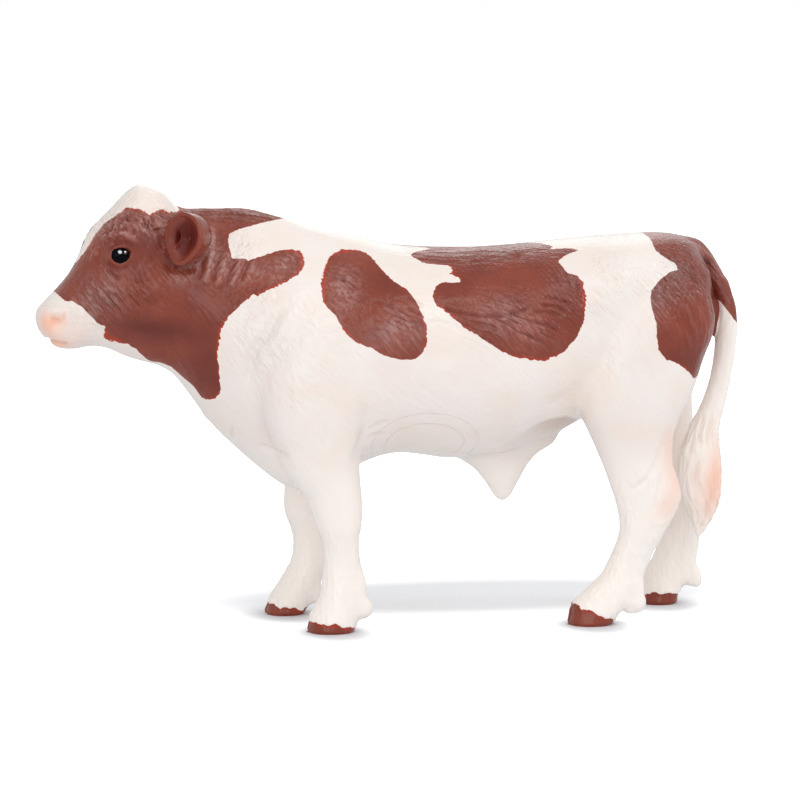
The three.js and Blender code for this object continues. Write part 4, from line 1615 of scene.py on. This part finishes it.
class Shader(Graph):
    """A material under construction."""

    def __init__(self, name: str) -> None:
        """Starts a material with a plain Principled surface."""
        self.material = bpy.data.materials.new(name)
        self.material.use_nodes = True
        super().__init__(self.material.node_tree)
        self.surface = self.tree.nodes["Principled BSDF"]

    def attribute(self, name: str) -> Value:
        """Reads a number kept at each point of the mesh."""
        node = self.node("ShaderNodeAttribute", {"attribute_name": name}, {})
        return Value(self, node.outputs["Fac"])

    def object_place(self) -> Value:
        """Returns the place on the object, in metres."""
        return Value(self, self.node("ShaderNodeTexCoord", {}, {}).outputs["Object"])

    def length(self, middle: Sequence[float], reach: Sequence[float]) -> Value:
        """Measures how far the place lies from a middle.

        Args:
            middle: in millimetres.
            reach: millimetres along each axis that count as 1, 0 for an axis left out.

        Returns:
            The distance.
        """
        scale = [1.0 / (size * MILLIMETRE) if size else 0.0 for size in reach]
        mapping = self.node(
            "ShaderNodeMapping", {"vector_type": "POINT"},
            {
                "Vector": self.object_place(), "Scale": scale,
                "Location": [-place * MILLIMETRE * size for place, size in zip(middle, scale)],
            },
        )
        sockets = {0: Value(self, mapping.outputs[0])}
        node = self.node("ShaderNodeVectorMath", {"operation": "LENGTH"}, sockets)
        return Value(self, node.outputs["Value"])

    def specks(self, apart: float, size: float) -> Value:
        """Scatters small round specks.

        Args:
            apart: how far apart they lie, in millimetres.
            size: their width in millimetres.

        Returns:
            1 in a speck, 0 elsewhere.
        """
        node = self.node(
            "ShaderNodeTexVoronoi", {"feature": "F1"},
            {"Vector": self.object_place(), "Scale": 1000.0 / apart},
        )
        return 1.0 - Value(self, node.outputs["Distance"]).step(size / apart * 0.35, size / apart * 0.6)

    def noise(self, size: float, detail: float = 2.0, turn: float = 0.0, reach: float = 1.0,
              start: float = 0.0) -> Value:
        """Adds a noise whose lumps have a real size.

        Args:
            size: width of a lump in millimetres.
            detail: how many finer layers it has.
            turn: way that the lumps run, in degrees below the body's rear.
            reach: how many times longer they are than wide.
            start: moves the pattern, so that two differ.

        Returns:
            The noise, from 0 to 1.
        """
        fine = 1000.0 / size
        mapping = self.node(
            "ShaderNodeMapping", {"vector_type": "POINT"},
            {
                "Vector": self.turned(turn),
                "Location": (start, start, start),
                "Scale": (fine / reach, fine, fine),
            },
        )
        node = self.node(
            "ShaderNodeTexNoise", {"noise_dimensions": "3D"},
            {"Vector": Value(self, mapping.outputs[0]), "Scale": 1.0, "Detail": detail, "Roughness": 0.55},
        )
        return Value(self, node.outputs[0])

    def bands(self, apart: float, turn: float, bend: float) -> Value:
        """Draws long wavering lines.

        Args:
            apart: how far apart they run, in millimetres.
            turn: way that they run, in degrees below the body's rear.
            bend: how far they waver, in radians of their own wave.

        Returns:
            A wave, from -1 to 1.
        """
        node = self.node("ShaderNodeSeparateXYZ", {}, {0: self.turned(turn)})
        across = Value(self, node.outputs[2]) * (2.0 * math.pi / (apart * MILLIMETRE))
        waver = across + (self.noise(7.0, 1.5, turn, 2.0) - 0.5) * bend
        return waver.math("SINE", waver)

    def turned(self, turn: float) -> Value:
        """Returns the object's place, turned about the axis across the body."""
        node = self.node(
            "ShaderNodeMapping", {"vector_type": "POINT"},
            {"Vector": self.object_place(), "Rotation": (0.0, math.radians(-turn), 0.0)},
        )
        return Value(self, node.outputs[0])

    def mix(self, share: "Value | float", first: "Value | Colour", second: "Value | Colour") -> Value:
        """Mixes two colours.

        Args:
            share: how much of the second.
            first: a colour of a screen, or a colour from a node.
            second: the other.

        Returns:
            The mixed colour.
        """
        node = self.node("ShaderNodeMix", {"data_type": "RGBA"}, {0: share})
        for key, colour in ((6, first), (7, second)):
            self.feed(node.inputs[key], colour if isinstance(colour, Value) else linear(colour))
        return Value(self, node.outputs[2])

    def layered(self, base: Value, *layers: tuple[Value, Colour]) -> Value:
        """Lays colours over a base.

        Args:
            base: the colour at the bottom.
            layers: how much of a colour shows, and the colour, from the bottom up.

        Returns:
            The mixed colour.
        """
        for share, colour in layers:
            base = self.mix(share, base, colour)
        return base

    def bump(self, height: Value, distance: float) -> None:
        """Presses a fine relief, from 0 to 1, into the surface to a depth in millimetres."""
        node = self.node(
            "ShaderNodeBump", {}, {"Height": height, "Distance": distance * MILLIMETRE, "Strength": 1.0},
        )
        self.tree.links.new(node.outputs[0], self.surface.inputs["Normal"])

    def set(self, **sockets: "Value | float | Sequence[float]") -> None:
        """Sets or links inputs of the surface, named with _ for a space."""
        for name, value in sockets.items():
            self.feed(self.surface.inputs[name.replace("_", " ")], value)


@dataclass(frozen=True)
class HideFinish:
    """Satin cast plastic in cream, with airbrushed pink and brushed-on brown paint, painted shade in creases
    and under the belly, and a painted sheen on the brown.
    """

    cream: Colour = (245, 236, 230)
    warm: Colour = (245, 230, 219)
    pale: Colour = (254, 245, 237)
    # Painted shade for the underside of the belly.
    painted_underside_shade: Colour = (206, 184, 172)
    blush: Colour = (252, 196, 170)
    # Painted shade in the creases of the cream.
    painted_crease_tan: Colour = (224, 176, 146)
    brown: Colour = (142, 64, 45)
    dull_brown: Colour = (128, 55, 39)
    # Painted shade: the darker brown that the deep attribute lays on.
    painted_shade_brown: Colour = (92, 30, 20)
    # Painted sheen: a pale pinkish grey laid over the brown where it is glossy, on raised ridges and on
    # combed hair.
    painted_sheen: Colour = (186, 140, 132)
    # Painted shade: the dark red brown laid into creases, wrinkles, the ear's bowl, the eye sockets and the
    # combed hair's valleys.
    painted_crease_shade: Colour = (96, 22, 14)
    rim: Colour = (176, 50, 20)
    speck: Colour = (120, 96, 84)
    edge_ragged: tuple[float, float] = (0.35, 0.9)
    hair: tuple[float, float] = (0.62, 5.0)
    hair_spacing: float = 3.0
    combs: tuple[tuple[Way, float, float], ...] = ((Way.SLANT, 0.82, 8.0), (Way.REAR, 0.85, 9.0))
    wrinkles: tuple[float, float, float] = (1.3, 24.0, 30.0)
    crease_shade: float = 0.8
    wrinkle_shade: float = 0.55
    valley_shade: float = 0.62
    relief: float = 0.42
    ring_middle: Place = (3.9, 0.0, 36.8)
    rings: tuple[tuple[float, float], ...] = ((10.4, 6.6), (7.7, 4.5))

    def make(self) -> bpy.types.Material:
        """Returns the coat's material."""
        shader = Shader("painted_hide")
        hollow, rim, sheen, combed = [shader.attribute(name) for name in ("hollow", "rim", "sheen", "combed")]
        nicks = shader.noise(0.5, 1.0, turn=50.0, reach=3.5)
        edge = shader.attribute("brown") + (nicks - 0.5) * (self.edge_ragged[0] + rim * self.edge_ragged[1])
        painted = edge.step(-0.05, 0.05)
        worn = (edge + (shader.noise(0.9, 2.0, start=5.0) - 0.5) * (0.2 + rim)) / (rim + 0.12)
        thin = (1.0 - worn.step(0.35, 1.1)) * painted
        strokes, lines, bands = self.strokes(shader), self.lines(shader), self.bands(shader)
        # The combed hair's valleys take painted shade; its crests take painted highlight as well as relief.
        valleys, combs = (bands * -1.0).step(0.1, 0.8) * combed, bands.step(0.0, 0.8) * combed
        # Painted highlight: how much pale glint the raised ridges, locks and combed crests take.
        raised = shader.attribute("crest").top(combs) * (strokes.step(0.3, 0.6) * 0.45 + 0.16)
        # Painted sheen on the glossy areas, broken up by the hair, with the painted highlight on top.
        painted_sheen = sheen * (strokes.step(0.35, 0.8) * 0.5 + 0.12) + raised
        # Painted shade in creases, in the wrinkles and in the combed hair's valleys.
        painted_crease_shade = (hollow * self.crease_shade).top(lines * self.wrinkle_shade).top(valleys * self.valley_shade)
        brown = shader.layered(
            shader.mix(shader.noise(6.0, 3.0).step(0.3, 0.7), self.brown, self.dull_brown),
            # Painted shade on the brown.
            (shader.attribute("deep"), self.painted_shade_brown),
            (thin * 0.9, self.rim),
            (painted_sheen, self.painted_sheen),
            (painted_crease_shade, self.painted_crease_shade),
        )
        outer, inner = [self.ring(shader, *size) for size in self.rings]
        hair = strokes * shader.attribute("tufts") * (painted * 0.45 + 0.55)
        relief = hair + combs * (painted * 1.3 + 0.15) - lines * 0.3 - outer.top(inner) * 0.2
        shader.set(
            Base_Color=shader.mix(painted, self.cream_coat(shader), brown),
            Roughness=0.15 + shader.noise(3.0, 2.0) * 0.1 + hollow * 0.3,
            IOR=1.42,
            Coat_Weight=sheen * 0.5,
            Coat_Roughness=0.3,
        )
        shader.bump(relief, self.relief)
        return shader.material

    def cream_coat(self, shader: Shader) -> Value:
        """Mixes the colour of the bare plastic: cream, paler on the legs and tail, airbrushed pink, painted
        shade under the belly and in creases, and a few specks.

        Args:
            shader: the material.

        Returns:
            The colour.
        """
        return shader.layered(
            shader.mix(shader.noise(9.0, 2.0).step(0.3, 0.8), self.cream, self.warm),
            (shader.attribute("limb"), self.pale),
            # Painted shade under the belly.
            (shader.attribute("under"), self.painted_underside_shade),
            (shader.attribute("pink"), self.blush),
            # Painted shade: tan in the creases.
            (shader.attribute("hollow") * 0.4, self.painted_crease_tan),
            (shader.specks(13.0, 0.35), self.speck),
        )

    def strokes(self, shader: Shader) -> Value:
        """Draws the fine hair, lying the way that it is combed at each place.

        Args:
            shader: the material.

        Returns:
            The height of the hair.
        """
        strokes = (shader.noise(3.0, 1.0) - 0.5) * 0.4
        size, reach = self.hair
        for number, way in enumerate(Way):
            hairs = shader.noise(size, 1.4, turn=way.value, reach=reach, start=self.hair_spacing * number)
            strokes = strokes + shader.attribute(way.name.lower()) * hairs.step(0.25, 0.75)
        return strokes

    def bands(self, shader: Shader) -> Value:
        """Draws the broader waves of the combed hair.

        Args:
            shader: the material.

        Returns:
            The waves, from -1 to 1.
        """
        slant, rear = [
            shader.bands(apart, way.value, bend) * shader.attribute(way.name.lower())
            for way, apart, bend in self.combs
        ]
        return slant + rear

    def lines(self, shader: Shader) -> Value:
        """Returns 1 in the short wrinkles of the hide, 0 elsewhere."""
        broken = shader.noise(2.4, 1.0, turn=24.0, reach=3.0, start=11.0).step(0.42, 0.54)
        return shader.bands(*self.wrinkles).step(0.7, 1.0) * broken * shader.attribute("wrinkles")

    def ring(self, shader: Shader, wide: float, tall: float) -> Value:
        """Draws the raised line of a plain ring on the left flank.

        Args:
            shader: the material.
            wide: its half width in millimetres.
            tall: its half height.

        Returns:
            1 on the line, 0 elsewhere.
        """
        away = (shader.length(self.ring_middle, (wide, 0.0, tall)) - 1.0).size()
        return (1.0 - away.step(0.006, 0.03)) * self.near_flank(shader)

    def near_flank(self, shader: Shader) -> Value:
        """Returns 1 well on the left flank, 0 elsewhere."""
        node = shader.node("ShaderNodeSeparateXYZ", {}, {0: shader.object_place()})
        return (Value(shader, node.outputs[1]) * -1.0).step(0.008, 0.010)


@dataclass(frozen=True)
class EyeFinish:
    """Gloss black lacquer with a trace of blue."""

    black: Colour = (5, 7, 15)
    edge: Colour = (18, 12, 14)
    drops: tuple[Place, ...] = ((-55.63, 0.0, 75.2), (-54.43, 0.0, 75.13))
    drop_reach: Place = (0.5, 0.0, 0.5)

    def make(self) -> bpy.types.Material:
        """Returns the lacquer's material."""
        shader = Shader("eye_lacquer")
        shader.set(
            Base_Color=shader.mix(shader.noise(0.8, 2.0).step(0.35, 0.8), self.black, self.edge),
            Roughness=0.06 + shader.noise(0.6, 2.0) * 0.06,
            IOR=1.12,
            Coat_Weight=self.gloss(shader),
            Coat_IOR=3.2,
            Coat_Roughness=0.08,
        )
        shader.bump(shader.noise(0.9, 1.0), 0.004)
        return shader.material

    def gloss(self, shader: Shader) -> Value:
        """Returns 1 in the thick glossy drops on the lacquer, 0 elsewhere."""
        near, far = [shader.length(middle, self.drop_reach).step(0.6, 1.0) for middle in self.drops]
        return 1.0 - near * far


@dataclass(frozen=True)
class Lamp:
    """A square soft box that faces the figure. Lengths are in metres, its power in watts."""

    name: str
    place: Place
    size: float
    power: float
    aim: Place = (0.0, 0.0, 0.045)

    def hang(self) -> None:
        """Hangs the lamp in its place."""
        data = bpy.data.lights.new(self.name, "AREA")
        data.size = self.size
        data.energy = self.power
        lamp = build_object(self.name, data)
        lamp.location = self.place
        lamp.rotation_mode = "QUATERNION"
        lamp.rotation_quaternion = (Vector(self.place) - Vector(self.aim)).to_track_quat("Z", "Y")


@dataclass(frozen=True)
class Studio:
    """Soft pale light, a white floor that keeps the shadow, and a white background."""

    ambient: float = 0.73
    lamps: tuple[Lamp, ...] = (
        Lamp("key_light", (0.13, -0.69, 0.78), 0.44, 1.22),
        Lamp("side_light", (0.77, -0.1, 0.63), 0.3, 1.4),
        Lamp("front_light", (-0.4, -1.0, 0.15), 0.8, 3.0),
        Lamp("back_light", (0.15, 0.8, 0.5), 0.5, 0.7),
    )
    floor_size: float = 6.0
    floor_colour: tuple[float, float, float, float] = (0.79, 0.81, 0.84, 1.0)
    shadow: tuple[Place, Place] = ((22.0, 28.0, 0.0), (52.0, 22.0, 0.0))
    hooves: tuple[tuple[float, float], ...] = ((-14.0, -15.4), (-20.0, 9.4), (38.0, -15.4), (58.0, 9.4))
    hoof_reach: Place = (8.0, 11.0, 0.0)

    def build(self) -> None:
        """Makes the world, the lamps and the floor."""
        bpy.context.scene.view_settings.view_transform = "Standard"
        self.sky()
        for lamp in self.lamps:
            lamp.hang()
        self.floor()

    def sky(self) -> None:
        """Makes the world: pure white to the camera, a little darker as a light."""
        world = bpy.data.worlds.new("pale_studio")
        bpy.context.scene.world = world
        world.use_nodes = True
        graph = Graph(world.node_tree)
        light = graph.tree.nodes["Background"]
        graph.feed(light.inputs["Color"], WHITE)
        graph.feed(light.inputs["Strength"], self.ambient)
        seen = graph.node("ShaderNodeBackground", {}, {"Color": WHITE, "Strength": 1.0})
        path = graph.node("ShaderNodeLightPath", {}, {})
        mix = graph.node("ShaderNodeMixShader", {}, {
            0: Value(graph, path.outputs["Is Camera Ray"]),
            1: Value(graph, light.outputs[0]),
            2: Value(graph, seen.outputs[0]),
        })
        graph.feed(graph.tree.nodes["World Output"].inputs["Surface"], Value(graph, mix.outputs[0]))

    def floor(self) -> None:
        """Lays the floor: a glow seen only by the camera makes it white, lowered in an ellipse round the
        figure and taken away at each hoof, so that the shade shows there.
        """
        body = bmesh.new()
        bmesh.ops.create_grid(body, x_segments=1, y_segments=1, size=self.floor_size)
        floor = build_object("floor", mesh_of(body, "floor"))
        shader = Shader("white_floor")
        path = Value(shader, shader.node("ShaderNodeLightPath", {}, {}).outputs["Is Camera Ray"])
        glow = path * (0.12 + shader.length(*self.shadow).step(0.7, 1.7) * 0.78)
        for x, y in self.hooves:
            glow = glow * shader.length((x, y, 0.0), self.hoof_reach).step(0.4, 1.6)
        shader.set(
            Base_Color=self.floor_colour, Roughness=0.9, Emission_Color=WHITE, Emission_Strength=glow,
        )
        floor.data.materials.append(shader.material)


def main() -> None:
    """Builds the figure in order and reports each piece."""
    logging.basicConfig(level=logging.INFO, format="%(name)s: %(message)s")
    VIEW.place()
    Studio().build()
    blank = Blank()
    blank.build()
    finish = HideFinish().make()
    castings = [
        Torso(),
        Head(),
        Leg(name="fore_leg_left", side=Side.LEFT, toe=(-19.0, 2.5), heel=(-9.5, 1.1)),
        Leg(name="fore_leg_right", side=Side.RIGHT, ahead=FAR_FORE_BACK, toe=(-24.0, 2.4), heel=(-15.4, 1.0)),
        Leg(
            name="hind_leg_left", side=Side.LEFT, hind=True, toe=(33.6, 4.6), heel=(42.5, 0.6), blunt=1.4,
        ),
        Leg(
            name="hind_leg_right", side=Side.RIGHT, hind=True, ahead=FAR_HIND_BACK, toe=(54.5, 2.5),
            heel=(62.4, 2.4),
        ),
        Tail(),
    ]
    for casting in castings:
        casting.build(blank, finish)
    lacquer = EyeFinish().make()
    for side in Side:
        Ear(name=f"ear_{side.name.lower()}", side=side).build(finish)
        Eye(name=f"eye_{side.name.lower()}", side=side).build(lacquer)


if __name__ == "__main__":
    main()
